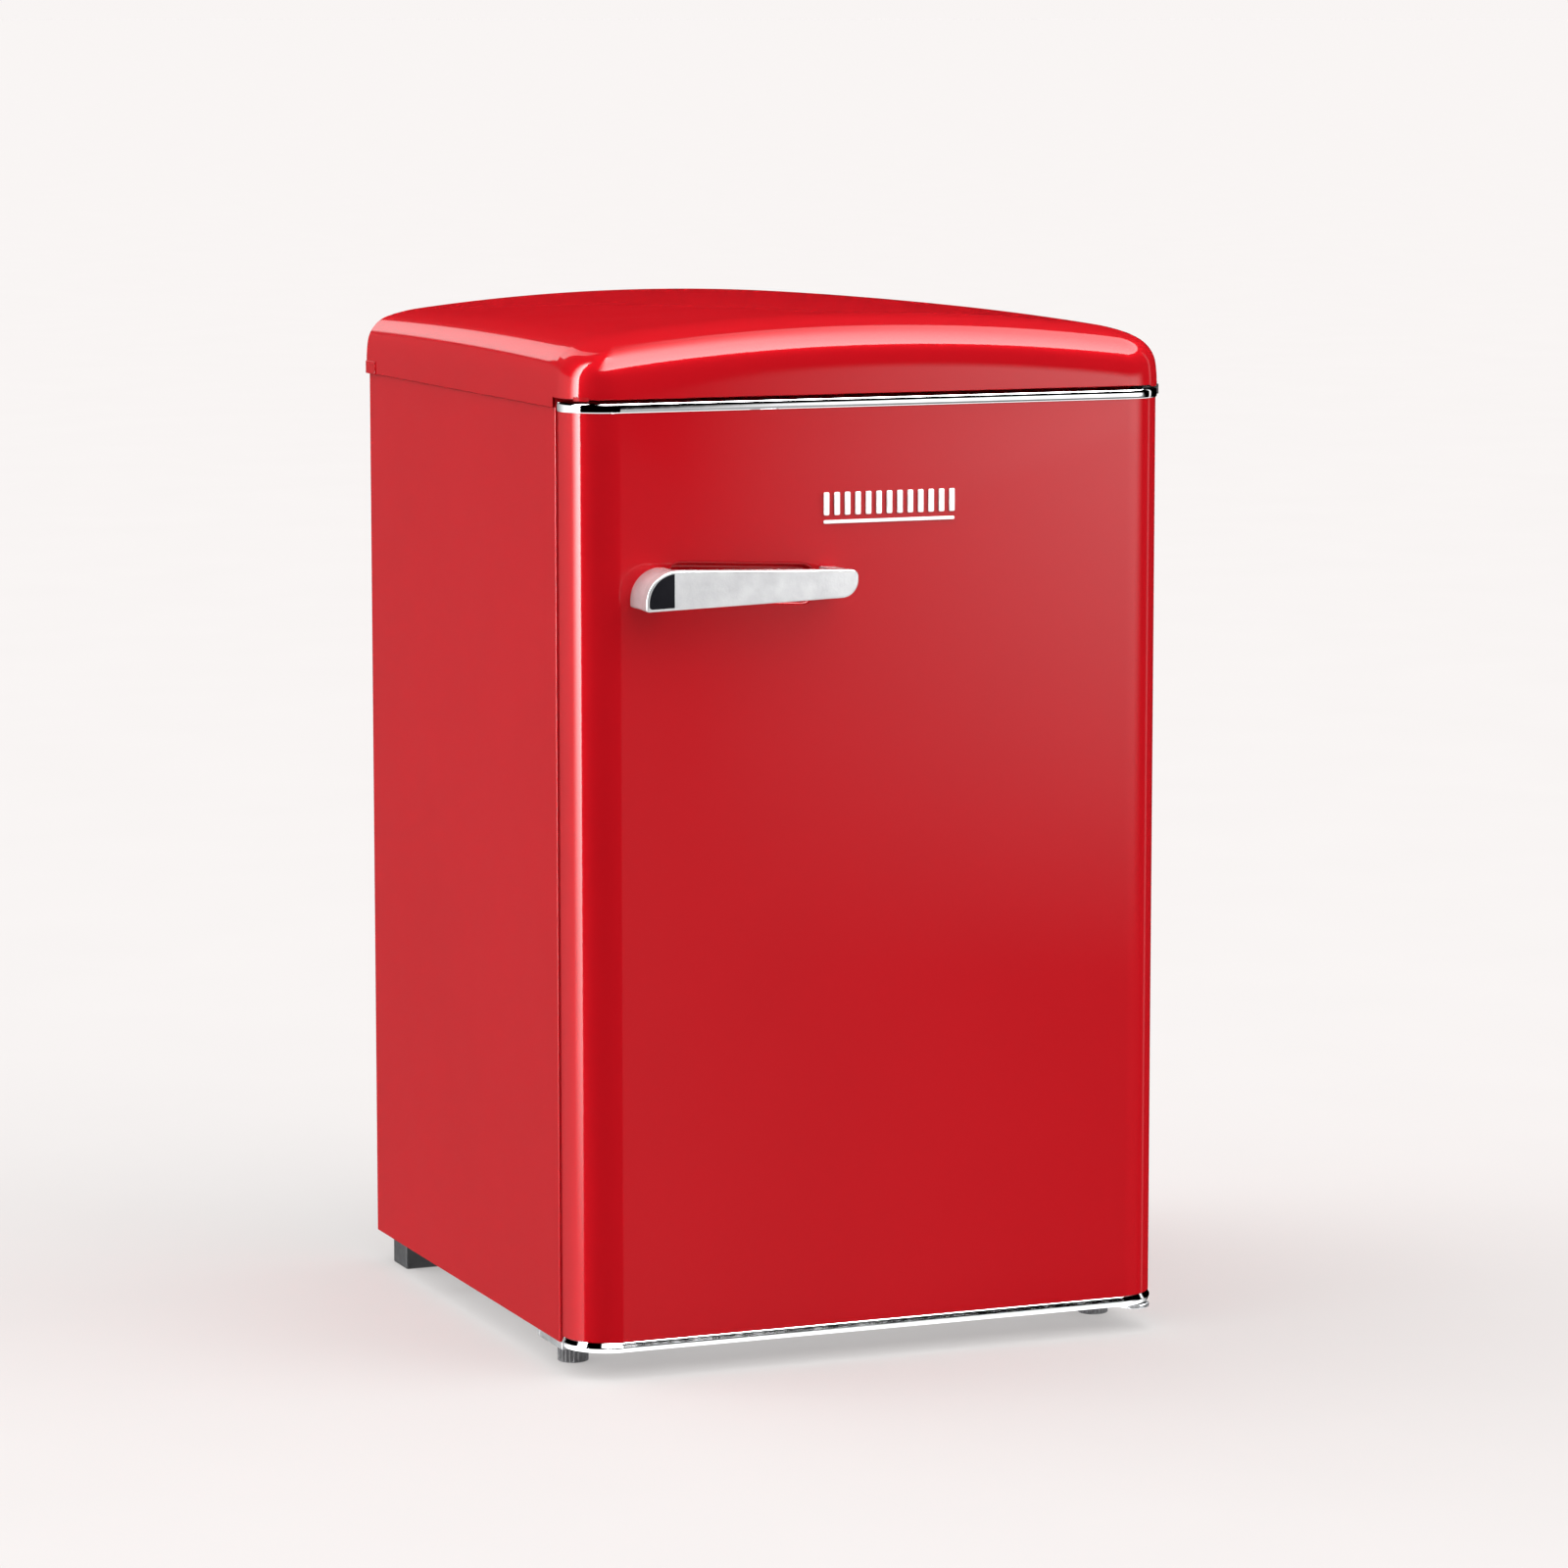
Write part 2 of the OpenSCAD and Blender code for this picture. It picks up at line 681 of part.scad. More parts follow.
// The moulded surround that the flap closes against, with its two hinge holes.
module ice_box_frame() {
    color("white") difference() {
        along_y(ice_y0, ice_y0 + 20) rounded([-ice_x, ice_z0], [ice_x, ice_z1], 10);
        along_y(ice_y0 - 1, ice_y0 + 21)
            rounded([-ice_x + 12, ice_z0 + 7], [ice_x - 12, ice_z1 - 5], 2);
        rod_x(-ice_x + 5, ice_x - 5, flap_axis_y, flap_axis_z, flap_pin_r + run_clear);
    }
}

// The flap, with hinge stubs at its lower corners and a finger lip at its top edge.
module ice_flap() {
    half = ice_x - 13;
    top = ice_z1 - 7;
    color("white") {
        difference() {
            along_x(-half, half) polygon(outline([
                [ice_y0 - 2, flap_axis_z - 5, 3], [ice_y0 + 12, flap_axis_z - 5, 4],
                [ice_y0 + 12, top, 1], [ice_y0 - 2, top, 3]
            ]));
            along_y(ice_y0 - 3, ice_y0) rounded([-half + 12, flap_axis_z + 8], [half - 12, top - 12], 8);
        }
        for (s = [-1, 1])
            rod_x(s > 0 ? half - eps : -half - 7, s > 0 ? half + 7 : -half + eps,
                  flap_axis_y, flap_axis_z, flap_pin_r);
        along_x(-60, 60) polygon(outline([
            [ice_y0 - 14, top - 26, 1], [ice_y0 - 11, top - 28, 1], [ice_y0 - 11, top - 13, 2],
            [ice_y0 + eps, top - 13, 0], [ice_y0 + eps, top - 9, 0], [ice_y0 - 14, top - 9, 3]
        ]));
    }
}

// Housing on the right wall for the thermostat and the lamp.
module thermostat_housing() {
    color("white") difference() {
        box([stat_x, stat_y0, stat_z0], [in_x, stat_y1, stat_z1]);
        box([stat_x + 2, stat_y0 + 2, stat_z0 + 2], [in_x - 2, stat_y1 - 2, stat_z1 - 2]);
        rod_x(stat_x - 1, stat_x + 3, dial_y, dial_z, dial_shaft_r + run_clear);
        box([stat_x - 1, stat_y0 + 8, stat_z0 + 10], [stat_x + 3, stat_y0 + 44, stat_z1 - 10]);
    }
}

module thermostat_dial() {
    color("whitesmoke") {
        difference() {
            rod_x(stat_x - 13, stat_x - 1, dial_y, dial_z, 17);
            for (a = [0:15:345])
                rod_x(stat_x - 14, stat_x - 4, dial_y + 17.4 * cos(a), dial_z + 17.4 * sin(a), 1.2);
            box([stat_x - 14, dial_y - 0.8, dial_z + 6], [stat_x - 12, dial_y + 0.8, dial_z + 15]);
        }
        rod_x(stat_x - 1 - eps, stat_x + 14, dial_y, dial_z, dial_shaft_r);
    }
}

module lamp_bulb() {
    length = in_x - 2 - stat_x - 7;
    color("lightyellow") translate([stat_x + 7, stat_y0 + 26, dial_z]) rotate([0, 90, 0])
        rotate_extrude() polygon(outline([
            [0, 0, 0], [9, 0, 8.5], [9, 16, 3], [7, 20, 0], [7, length, 0], [0, length, 0]], 8));
}

// The ribbed window over the lamp.
module lamp_lens() {
    color("white", 0.6) {
        box([stat_x - 3, stat_y0 + 8, stat_z0 + 10], [stat_x + 2, stat_y0 + 44, stat_z1 - 10]);
        for (i = [0:7])
            rod_z(stat_x - 3, stat_y0 + 12 + 4 * i, stat_z0 + 12, stat_z1 - 12, 1.2);
    }
}

// The block that guides the light switch's plunger.
module switch_housing() {
    color("white") difference() {
        box([switch_x - 10, switch_y0, switch_z - 13], [in_x, switch_y0 + 34, switch_z + 13]);
        rod_y(switch_x, switch_y0 - 1, switch_y0 + 26, switch_z, plunger_r + run_clear);
    }
}

module light_switch_plunger() {
    color("gray") rod_y(switch_x, dike_y + 0.3, switch_y0 + 14, switch_z, plunger_r);
}

// Panes with a front and a rear trim. The lowest carries the crisper, the next covers it.
shelf_ends = [[shelf_lower, 188], [shelf_cover, 188], [shelf_middle, 188]];

module glass_shelves() {
    color("paleturquoise", 0.5) for (s = shelf_ends)
        box([-in_x + 2, shelf_y0, s[0]], [in_x - 2, s[1], s[0] + glass_t]);
}

module shelf_trims() {
    color("white") for (s = shelf_ends) {
        difference() {
            box([-in_x + 2 + rail_in, shelf_y0 - 5, s[0] - 1.5],
                [in_x - 2 - rail_in, shelf_y0 + 9, s[0] + glass_t + 1.5]);
            box([-in_x, shelf_y0, s[0]], [in_x, shelf_y0 + 10, s[0] + glass_t]);
        }
        difference() {
            box([-in_x + 2 + rail_in, s[1] - 8, s[0] - 1.5],
                [in_x - 2 - rail_in, s[1] + 4, s[0] + glass_t + 8]);
            box([-in_x, s[1] - 9, s[0]], [in_x, s[1], s[0] + glass_t]);
        }
    }
}

// The crisper's side walls lean outward to a rolled rim.
module crisper_drawer() {
    wall = 2.4;
    z1 = crisper_z0 + crisper_h - 8;
    color("white", 0.6) {
        difference() {
            along_y(crisper_y0, crisper_y1) polygon(outline([
                [-crisper_x + 12, crisper_z0, 8], [crisper_x - 12, crisper_z0, 8],
                [crisper_x - 4, z1, 0], [-crisper_x + 4, z1, 0]]));
            along_y(crisper_y0 + wall, crisper_y1 - wall) polygon(outline([
                [-crisper_x + 12 + wall, crisper_z0 + wall, 6],
                [crisper_x - 12 - wall, crisper_z0 + wall, 6],
                [crisper_x - 4 - wall, z1 + 1, 0], [-crisper_x + 4 + wall, z1 + 1, 0]]));
        }
        difference() {
            box([-crisper_x, crisper_y0, z1 - 5], [crisper_x, crisper_y1, z1]);
            box([-crisper_x + 6, crisper_y0 + wall, z1 - 6], [crisper_x - 6, crisper_y1 - wall, z1 + 1]);
        }
        along_x(-90, 90) polygon(outline([
            [crisper_y0 - 9, z1 - 20, 1], [crisper_y0 - 6, z1 - 22, 1], [crisper_y0 - 6, z1 - 4, 2],
            [crisper_y0 + eps, z1 - 4, 0], [crisper_y0 + eps, z1, 0], [crisper_y0 - 9, z1, 3]]));
    }
}

// ---------------------------------------------------------------- door

// The recess behind the handle, drawn in by a sheet thickness.
module grip_recess(inset, front, back) {
    translate([(grip_x0 + grip_x1) / 2, 0, grip_z]) rotate([0, grip_tilt, 0]) along_y(front, back)
        rounded([(grip_x0 - grip_x1) / 2 + inset, -grip_h / 2 + inset],
                [(grip_x1 - grip_x0) / 2 - inset, grip_h / 2 - inset], 12 - inset);
}

// One sheet wrapped round the front and both sides, with the grip pressed into it.
module door_skin() {
    half = door_w / 2;
    color("firebrick") difference() {
        union() {
            difference() {
                translate([0, 0, skin_z0]) linear_extrude(skin_z1 - skin_z0)
                    bowed_plan(half, y_door, y_flange, door_r);
                translate([0, 0, skin_z0 - 1]) linear_extrude(skin_z1 - skin_z0 + 2)
                    bowed_plan(half - sheet, y_door + sheet, y_flange + 1, door_r - sheet);
            }
            grip_recess(0, y_door + 0.5, y_door + grip_depth + sheet);
        }
        grip_recess(sheet, y_door - 1, y_door + grip_depth);
    }
}

// The plastic corner let into the top trim beside the upper hinge.
module hinge_corner(grow) {
    translate([0, 0, skin_z1 + 2 - grow]) linear_extrude(8.4 + grow)
        rounded([hinge_x + 13 - grow, y_flange - 14 - grow], [overall_w / 2, y_flange - 0.6 + grow], 3.5);
}

// An end cap of the door, hollow from z[0] to z[1] but for a boss round the hinge bush.
module end_cap(z0, height, hollow) {
    half = door_w / 2 + trim_proud;
    difference() {
        translate([0, 0, z0]) linear_extrude(height)
            bowed_plan(half, y_door - trim_proud, y_flange, door_r + trim_proud);
        translate([0, 0, hollow[0]]) linear_extrude(hollow[1] - hollow[0]) difference() {
            bowed_plan(half - 4, y_door + 3, y_flange - 4, door_r - 3);
            translate([hinge_x, hinge_y]) circle(11);
        }
        rod_z(hinge_x, hinge_y, z0 - 1, z0 + height + 1, 7);
    }
}

module door_top_trim() {
    color("gainsboro") difference() {
        end_cap(skin_z1, top_trim_h, [skin_z1 - 1, door_z1 - 2]);
        hinge_corner(0.1);
    }
}
module door_bottom_trim() {
    color("gainsboro") end_cap(door_z0, bottom_trim_h, [door_z0 + 2, skin_z0 + 1]);
}

// The raised ring that reaches into the cabinet, and the pocket inside it.
module dike(grow, y0, y1) {
    x = dike_x + grow;
    along_y(y0, y1) rounded([-x, dike_z0 - grow], [x, dike_z1 + grow], 14 + grow);
}
module pocket(grow, y0, y1) {
    x = dike_in + grow;
    along_y(y0, y1) rounded([-x, dike_z0 + 15 - grow], [x, dike_z1 - 15 + grow], 12 + grow);
}

module door_liner() {
    half = door_w / 2 - sheet - 0.1;
    color("white") difference() {
        union() {
            box([-half, y_flange - liner_t, skin_z0], [half, y_flange, skin_z1]);
            dike(0, y_flange - eps, dike_y);
            pocket(liner_t, pocket_y - liner_t, y_flange);
        }
        difference() {
            dike(-liner_t, y_flange - liner_t - 1, dike_y - liner_t);
            pocket(liner_t, pocket_y - liner_t - 1, dike_y);
        }
        pocket(0, pocket_y, dike_y + 1);
    }
}

module door_foam() {
    half = door_w / 2 - sheet;
    color("khaki") difference() {
        union() {
            translate([0, 0, skin_z0]) linear_extrude(skin_z1 - skin_z0)
                bowed_plan(half, y_door + sheet, y_flange - liner_t, door_r - sheet);
            dike(-liner_t, y_flange - liner_t - eps, dike_y - liner_t);
        }
        pocket(liner_t, pocket_y - liner_t, dike_y);
        grip_recess(0, y_door - 1, y_door + grip_depth + sheet);
        rod_z(hinge_x, hinge_y, skin_z0 - 1, door_z0 + 22, 7);
        rod_z(hinge_x, hinge_y, door_z1 - 22, skin_z1 + 1, 7);
    }
}

// The magnetic seal, one mitred ring.
module door_gasket() {
    color("gainsboro") difference() {
        along_y(y_flange, y_cab - 0.3) rounded([-gasket_out, gasket_z0], [gasket_out, gasket_z1], 4);
        along_y(y_flange - 1, y_cab + 1)
            rounded([-gasket_out + gasket_w, gasket_z0 + gasket_w],
                    [gasket_out - gasket_w, gasket_z1 - gasket_w], 3);
    }
}

module hinge_bushes() {
    color("dimgray") {
        for (z = [[door_z0, door_z0 + 22], [door_z1 - 22, door_z1]]) difference() {
            rod_z(hinge_x, hinge_y, z[0], z[1], 7);
            rod_z(hinge_x, hinge_y, z[0] - 1, z[1] + 1, pin_r + run_clear);
        }
        hinge_corner(0);
    }
}

// The handle's front outline, drawn in by a border width. It tapers to the free end.
function handle_outline(inset) = outline([
    [handle_x0 + inset, 655.7 + inset, 3], [handle_x1 - inset, 661.8 + inset, 15 - inset],
    [handle_x1 - inset, 684.8 - inset, 6 - inset], [handle_x0 + inset, 690.5 - inset, 27 - inset]
], 8);

// A bar carried on a deep post at its root and a slim one at its end.
module handle() {
    y0 = y_door - handle_proud;
    color("silver") difference() {
        intersection() {
            along_y(y0, y_door) polygon(handle_outline(0));
            union() {
                along_x(handle_x0 - 1, handle_x1 + 1) translate([y0, 640]) square([12, 60]);
                along_y(y0, y_door) {
                    translate([handle_x0, 640]) square([30, 60]);
                    translate([grip_x1 + 3, 640]) square([handle_x1 - grip_x1, 60]);
                }
            }
        }
        along_y(y0 - 1, y0 + 1.5) inlay_outline();
    }
}

// The dark inlay: the handle's outline drawn in, cut off square on its right.
module inlay_outline() {
    intersection() {
        polygon(handle_outline(2.6));
        translate([handle_x0, 640]) square([25, 60]);
    }
}

module handle_inlay() {
    y0 = y_door - handle_proud;
    color("black") along_y(y0 + 0.1, y0 + 1.5) inlay_outline();
}

// A plain badge: a row of upright bars over one thin bar.
module door_badge() {
    bars = 13;
    pitch = (120 - 5) / (bars - 1);
    color("white") {
        for (i = [0:bars - 1])
            along_y(y_door - 2.2, y_door)
                rounded([-51 + i * pitch, 727.5], [-46 + i * pitch, 747], 1.2);
        along_y(y_door - 1.6, y_door) rounded([-51, 720.5], [69, 723.5], 1.4);
    }
}

// An open rack hung between the dikes: floor, rear and front walls, and two ends.
module rack(size) {
    z0 = size[0];
    z1 = z0 + size[1];
    y1 = rack_back + size[2];
    wall = 2.5;
    difference() {
        along_x(-rack_x, rack_x) polygon(outline([
            [rack_back, z0, 6], [y1 - 6, z0, 10], [y1, z1, 2], [rack_back, z1, 2]]));
        along_x(-rack_x + wall, rack_x - wall) polygon(outline([
            [rack_back + wall, z0 + wall, 4], [y1 - 6 - wall, z0 + wall, 8],
            [y1 - wall, z1 + 1, 0], [rack_back + wall, z1 + 1, 0]]));
        along_x(-rack_x - 1, rack_x + 1)
            translate([rack_back - 1, z0 + size[1] * 0.55]) square([28, size[1]]);
    }
    for (s = [-1, 1])
        box([s > 0 ? rack_x - eps : -dike_in + 0.4, rack_back + 6, z0 + 8],
            [s > 0 ? dike_in - 0.4 : -rack_x + eps, rack_back + 26, z0 + 20]);
}
module bottle_rack() {
    color("white", 0.7) rack(bottle_rack);
}
module middle_rack() {
    color("white", 0.7) rack(middle_rack);
}
module upper_rack() {
    color("white", 0.7) rack(upper_rack);
}

// ---------------------------------------------------------------- nodes

side_panel(-1);  // side_panel_left
side_panel(1);  // side_panel_right
top_panel();
back_panel();
base_pan();
front_rail_top();
front_rail_bottom();
inner_liner();
cabinet_foam();
shelf_rails();
lid();
upper_hinge_bracket();
lower_hinge_bracket();
foot_plate_left();
hinge_pins();
hinge_screws();
foot_inserts();
rear_foot(-1);  // rear_foot_left
rear_foot(1);  // rear_foot_right
compressor();
compressor_feet();
compressor_grommets();
compressor_rail();
relay_box();
condenser_tube();
condenser_wires();
condenser_brackets();
filter_drier();
refrigerant_pipes();
evaporation_tray();
drain_tube();
rear_spacers();
cord_gland();
ice_box();
ice_box_frame();
thermostat_housing();
lamp_bulb();
lamp_lens();
switch_housing();
glass_shelves();
shelf_trims();
door_skin();
door_top_trim();
door_bottom_trim();
door_liner();
door_foam();
door_gasket();
hinge_bushes();
handle();
handle_inlay();
door_badge();
bottle_rack();
middle_rack();
upper_rack();
ice_flap();
crisper_drawer();
thermostat_dial();
light_switch_plunger();
front_foot(-foot_x);  // front_foot_left
front_foot(foot_x);  // front_foot_right
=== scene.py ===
"""Looks for a retro table-top fridge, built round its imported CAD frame. Metres, row frame."""

import json
import math

import bmesh
import bpy
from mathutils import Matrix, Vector


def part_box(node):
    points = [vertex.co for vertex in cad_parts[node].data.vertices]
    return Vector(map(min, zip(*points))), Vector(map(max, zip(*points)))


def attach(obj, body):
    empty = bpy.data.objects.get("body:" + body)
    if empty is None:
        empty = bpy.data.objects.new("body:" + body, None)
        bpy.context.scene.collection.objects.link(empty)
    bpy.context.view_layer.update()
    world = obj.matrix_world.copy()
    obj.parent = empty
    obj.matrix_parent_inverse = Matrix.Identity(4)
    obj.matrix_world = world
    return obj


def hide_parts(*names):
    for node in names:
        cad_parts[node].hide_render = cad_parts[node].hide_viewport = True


MM = 0.001
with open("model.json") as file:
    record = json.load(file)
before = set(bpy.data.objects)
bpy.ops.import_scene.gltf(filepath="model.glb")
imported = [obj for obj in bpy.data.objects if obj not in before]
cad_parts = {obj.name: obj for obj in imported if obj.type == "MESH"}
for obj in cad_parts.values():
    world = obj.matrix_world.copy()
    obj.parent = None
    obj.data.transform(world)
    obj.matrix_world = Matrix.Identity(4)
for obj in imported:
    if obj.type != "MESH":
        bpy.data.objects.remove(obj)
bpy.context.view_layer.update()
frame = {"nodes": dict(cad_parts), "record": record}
nodes = frame["nodes"]

# ------------------------------------------------------------------ main planes, from the frame

skin_lo, skin_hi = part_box("door_skin")
panel_lo, panel_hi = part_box("side_panel_left")
lid_lo, lid_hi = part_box("lid")
Y_DOOR = skin_lo.y
Y_FLANGE = skin_hi.y
Y_CAB = panel_lo.y
Y_BACK = panel_hi.y
DOOR_HALF = skin_hi.x
DOOR_R = 40 * MM
DOOR_MIDDLE = (0, 0, 0.42)
CAB_HALF = -panel_lo.x
SHEET = 0.8 * MM
TOUCH = 1e-6


# ------------------------------------------------------------------ outlines and lofts


def rounded_outline(corners, n=8, step=None, closed=True):
    """Turns corners (u, v, radius), listed anticlockwise, into points with outward normals."""
    out = []
    count = len(corners)
    for i, (u, v, r) in enumerate(corners):
        here = Vector((u, v))
        before = Vector(corners[i - 1][:2])
        after = Vector(corners[(i + 1) % count][:2])
        if not closed and i == 0:
            before = 2 * here - after
        if not closed and i == count - 1:
            after = 2 * here - before
        d_in = (here - before).normalized()
        d_out = (after - here).normalized()
        n_in = Vector((d_in.y, -d_in.x))
        n_out = Vector((d_out.y, -d_out.x))
        if r <= 0:
            out.append((here, (n_in + n_out) / (1 + n_in.dot(n_out))))
            continue
        turn = math.atan2(d_in.x * d_out.y - d_in.y * d_out.x, d_in.dot(d_out))
        sign = 1 if turn > 0 else -1
        centre = here - d_in * r * math.tan(abs(turn) / 2) - n_in * r * sign
        for j in range(n + 1):
            a = turn * j / n
            normal = Vector((n_in.x * math.cos(a) - n_in.y * math.sin(a),
                             n_in.x * math.sin(a) + n_in.y * math.cos(a)))
            out.append((centre + normal * r * sign, normal))
    if not step:
        return out
    fine = []
    pairs = list(zip(out, out[1:] + out[:1])) if closed else list(zip(out, out[1:]))
    for (p, pn), (q, qn) in pairs:
        parts = max(1, math.ceil((q - p).length / step))
        fine += [(p.lerp(q, k / parts), pn.lerp(qn, k / parts)) for k in range(parts)]
    return fine if closed else fine + [out[-1]]


def rect(u0, u1, v0, v1, r, n=6):
    """A rounded rectangle's outline."""
    return rounded_outline([(u0, v0, r), (u1, v0, r), (u1, v1, r), (u0, v1, r)], n)


def inset(outline, by):
    """The outline's points moved inward."""
    return [p - normal * by for p, normal in outline]


def on_z(points, z):
    return [Vector((p.x, p.y, z)) for p in points]


def on_y(points, y):
    return [Vector((p.x, y, p.y)) for p in points]


def on_x(points, x):
    return [Vector((x, p.x, p.y)) for p in points]


def loft(bm, rings, caps=(True, True), closed=True):
    """Joins rings of equal length by quads, and closes the first and last if asked."""
    rows = [[bm.verts.new(p) for p in ring] for ring in rings]
    for a, b in zip(rows, rows[1:]):
        for i in range(len(a) if closed else len(a) - 1):
            j = (i + 1) % len(a)
            bm.faces.new((a[i], a[j], b[j], b[i]))
    if caps[0]:
        bm.faces.new(rows[0][::-1])
    if caps[1]:
        bm.faces.new(rows[-1])
    return rows


def quarter(n):
    """The angles that cut a quarter turn into n parts."""
    return [math.pi / 2 * i / n for i in range(n + 1)]


def edge_round(r, n):
    """(inset, drop) pairs round a quarter circle, from the flat top to the side."""
    return [(r * (1 - math.sin(a)), r * (1 - math.cos(a))) for a in quarter(n)]


def slab(bm, outline, place, low, high, r, n=3):
    """A plate with rounded edges: an outline carried from low to high along the placing axis."""
    ends = edge_round(r, n)
    rings = [place(inset(outline, i), low + d) for i, d in ends]
    rings += [place(inset(outline, i), high - d) for i, d in reversed(ends)]
    loft(bm, rings)


def block(bm, lo, hi, r, n=3):
    """A box with every edge rounded."""
    slab(bm, rect(lo[0], hi[0], lo[1], hi[1], r, n), on_z, lo[2], hi[2], r, n)


def upright_rod(bm, x, y, radius, low, high, r, sides=24):
    """A round upright bar, its end edges rounded."""
    around = [Vector((math.cos(a), math.sin(a)))
              for a in (2 * math.pi * i / sides for i in range(sides))]
    slab(bm, [(Vector((x, y)) + n * radius, n) for n in around], on_z, low, high, r, 2)


def face_away(bm, point):
    """Turns an open sheet's faces away from a point."""
    bmesh.ops.recalc_face_normals(bm, faces=bm.faces)
    point = Vector(point)
    if sum(f.calc_area() * f.normal.dot(f.calc_center_median() - point) for f in bm.faces) < 0:
        bmesh.ops.reverse_faces(bm, faces=bm.faces)


def make(name, bm, body, material, replaced=(), angle=35, solid=0.0, away=None, weld=True):
    """Turns a bmesh into a finished piece that rides on a body. A sheet's faces look away from a
    point, and it gets its thickness towards that point, or the other way if solid is negative."""
    if weld:
        bmesh.ops.remove_doubles(bm, verts=bm.verts, dist=TOUCH)
    bmesh.ops.recalc_face_normals(bm, faces=bm.faces)
    if away:
        face_away(bm, away)
    mesh = bpy.data.meshes.new(name)
    bm.to_mesh(mesh)
    bm.free()
    mesh.shade_smooth()
    mesh.set_sharp_from_angle(angle=math.radians(angle))
    piece = bpy.data.objects.new(name, mesh)
    bpy.context.scene.collection.objects.link(piece)
    mesh.materials.append(material)
    if solid:
        shell = piece.modifiers.new("wall", "SOLIDIFY")
        shell.thickness = abs(solid)
        shell.offset = -1 if solid > 0 else 1
    piece.modifiers.new("normals", "WEIGHTED_NORMAL").keep_sharp = True
    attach(piece, body)
    if replaced:
        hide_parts(*replaced)


def add_bevel(piece, width, angle):
    """Rounds a piece's sharp edges."""
    rounding = piece.modifiers.new("edges", "BEVEL")
    rounding.width = width
    rounding.segments = 2
    rounding.limit_method = "ANGLE"
    rounding.angle_limit = math.radians(angle)
    rounding.harden_normals = True


# ------------------------------------------------------------------ materials


class Nodes:
    """A short way to build a material's node tree round one Principled shader."""

    def __init__(self, name, **sockets):
        self.material = bpy.data.materials.new(name)
        self.material.use_nodes = True
        self.tree = self.material.node_tree
        self.shader = self.tree.nodes["Principled BSDF"]
        self.coords = self.add("ShaderNodeTexCoord").outputs["Object"]
        for key, value in sockets.items():
            self.shader.inputs[key.replace("_", " ")].default_value = value

    def add(self, kind):
        return self.tree.nodes.new(kind)

    def link(self, a, b):
        self.tree.links.new(a, b)

    def noise(self, scale, detail=3.0, stretch=None):
        """Noise over the object's own coordinates, stretched per axis if asked."""
        made = self.add("ShaderNodeTexNoise")
        made.inputs["Scale"].default_value = scale
        made.inputs["Detail"].default_value = detail
        source = self.coords
        if stretch:
            mapping = self.add("ShaderNodeMapping")
            mapping.inputs["Scale"].default_value = stretch
            self.link(source, mapping.inputs["Vector"])
            source = mapping.outputs["Vector"]
        self.link(source, made.inputs["Vector"])
        return made.outputs["Fac"]

    def ramp(self, value, low, high, start=0.3, end=0.7):
        """Maps a value to a colour between two, or to a number if low is one."""
        if isinstance(low, (int, float)):
            made = self.add("ShaderNodeMapRange")
            made.inputs["From Min"].default_value = start
            made.inputs["From Max"].default_value = end
            made.inputs["To Min"].default_value = low
            made.inputs["To Max"].default_value = high
            self.link(value, made.inputs["Value"])
            return made.outputs["Result"]
        made = self.add("ShaderNodeValToRGB")
        made.color_ramp.elements[0].position = start
        made.color_ramp.elements[0].color = (*low, 1)
        made.color_ramp.elements[1].position = end
        made.color_ramp.elements[1].color = (*high, 1)
        self.link(value, made.inputs["Fac"])
        return made.outputs["Color"]

    def bump(self, value, height, strength=1.0):
        made = self.add("ShaderNodeBump")
        made.inputs["Strength"].default_value = strength
        made.inputs["Distance"].default_value = height
        self.link(value, made.inputs["Height"])
        return made.outputs["Normal"]

    def to(self, output, socket):
        self.link(output, self.shader.inputs[socket])


def mottled(name, low, high, rough, scale, bump, bump_scale, **sockets):
    """A material whose colour and roughness drift a little, with a fine surface bump."""
    m = Nodes(name, **sockets)
    m.to(m.ramp(m.noise(scale), low, high), "Base Color")
    m.to(m.ramp(m.noise(scale * 2.7), *rough), "Roughness")
    m.to(m.bump(m.noise(bump_scale), bump), "Normal")
    return m.material


def red_paint():
    """High-gloss red enamel under a clear coat, with a trace of orange peel."""
    m = Nodes("red_paint", Metallic=0.2, Coat_Weight=0.5, Coat_Roughness=0.02, Coat_IOR=1.5,
              Specular_IOR_Level=0.0)
    m.to(m.ramp(m.noise(3.0), (0.39, 0.0045, 0.0085), (0.41, 0.005, 0.0095)), "Base Color")
    m.to(m.ramp(m.noise(9.0), 0.44, 0.50), "Roughness")
    peel = m.bump(m.noise(420.0, 2.0), 0.00004, 0.25)
    m.to(peel, "Normal")
    m.link(peel, m.shader.inputs["Coat Normal"])
    return m.material


def chrome():
    """Bright plated plastic with faint handling haze."""
    m = Nodes("chrome", Metallic=1.0)
    m.to(m.ramp(m.noise(30.0), (0.86, 0.87, 0.88), (0.92, 0.925, 0.93)), "Base Color")
    m.to(m.ramp(m.noise(90.0), 0.035, 0.07), "Roughness")
    m.to(m.bump(m.noise(60.0, 1.0), 0.00005, 0.15), "Normal")
    return m.material


def brushed(name, low, high, rough, stretch):
    """Rolled or brushed metal: long streaks across the sheet."""
    m = Nodes(name, Metallic=1.0)
    streaks = m.noise(40.0, 6.0, stretch)
    m.to(m.ramp(streaks, low, high), "Base Color")
    m.to(m.ramp(streaks, *rough), "Roughness")
    m.to(m.bump(streaks, 0.00006, 0.4), "Normal")
    return m.material


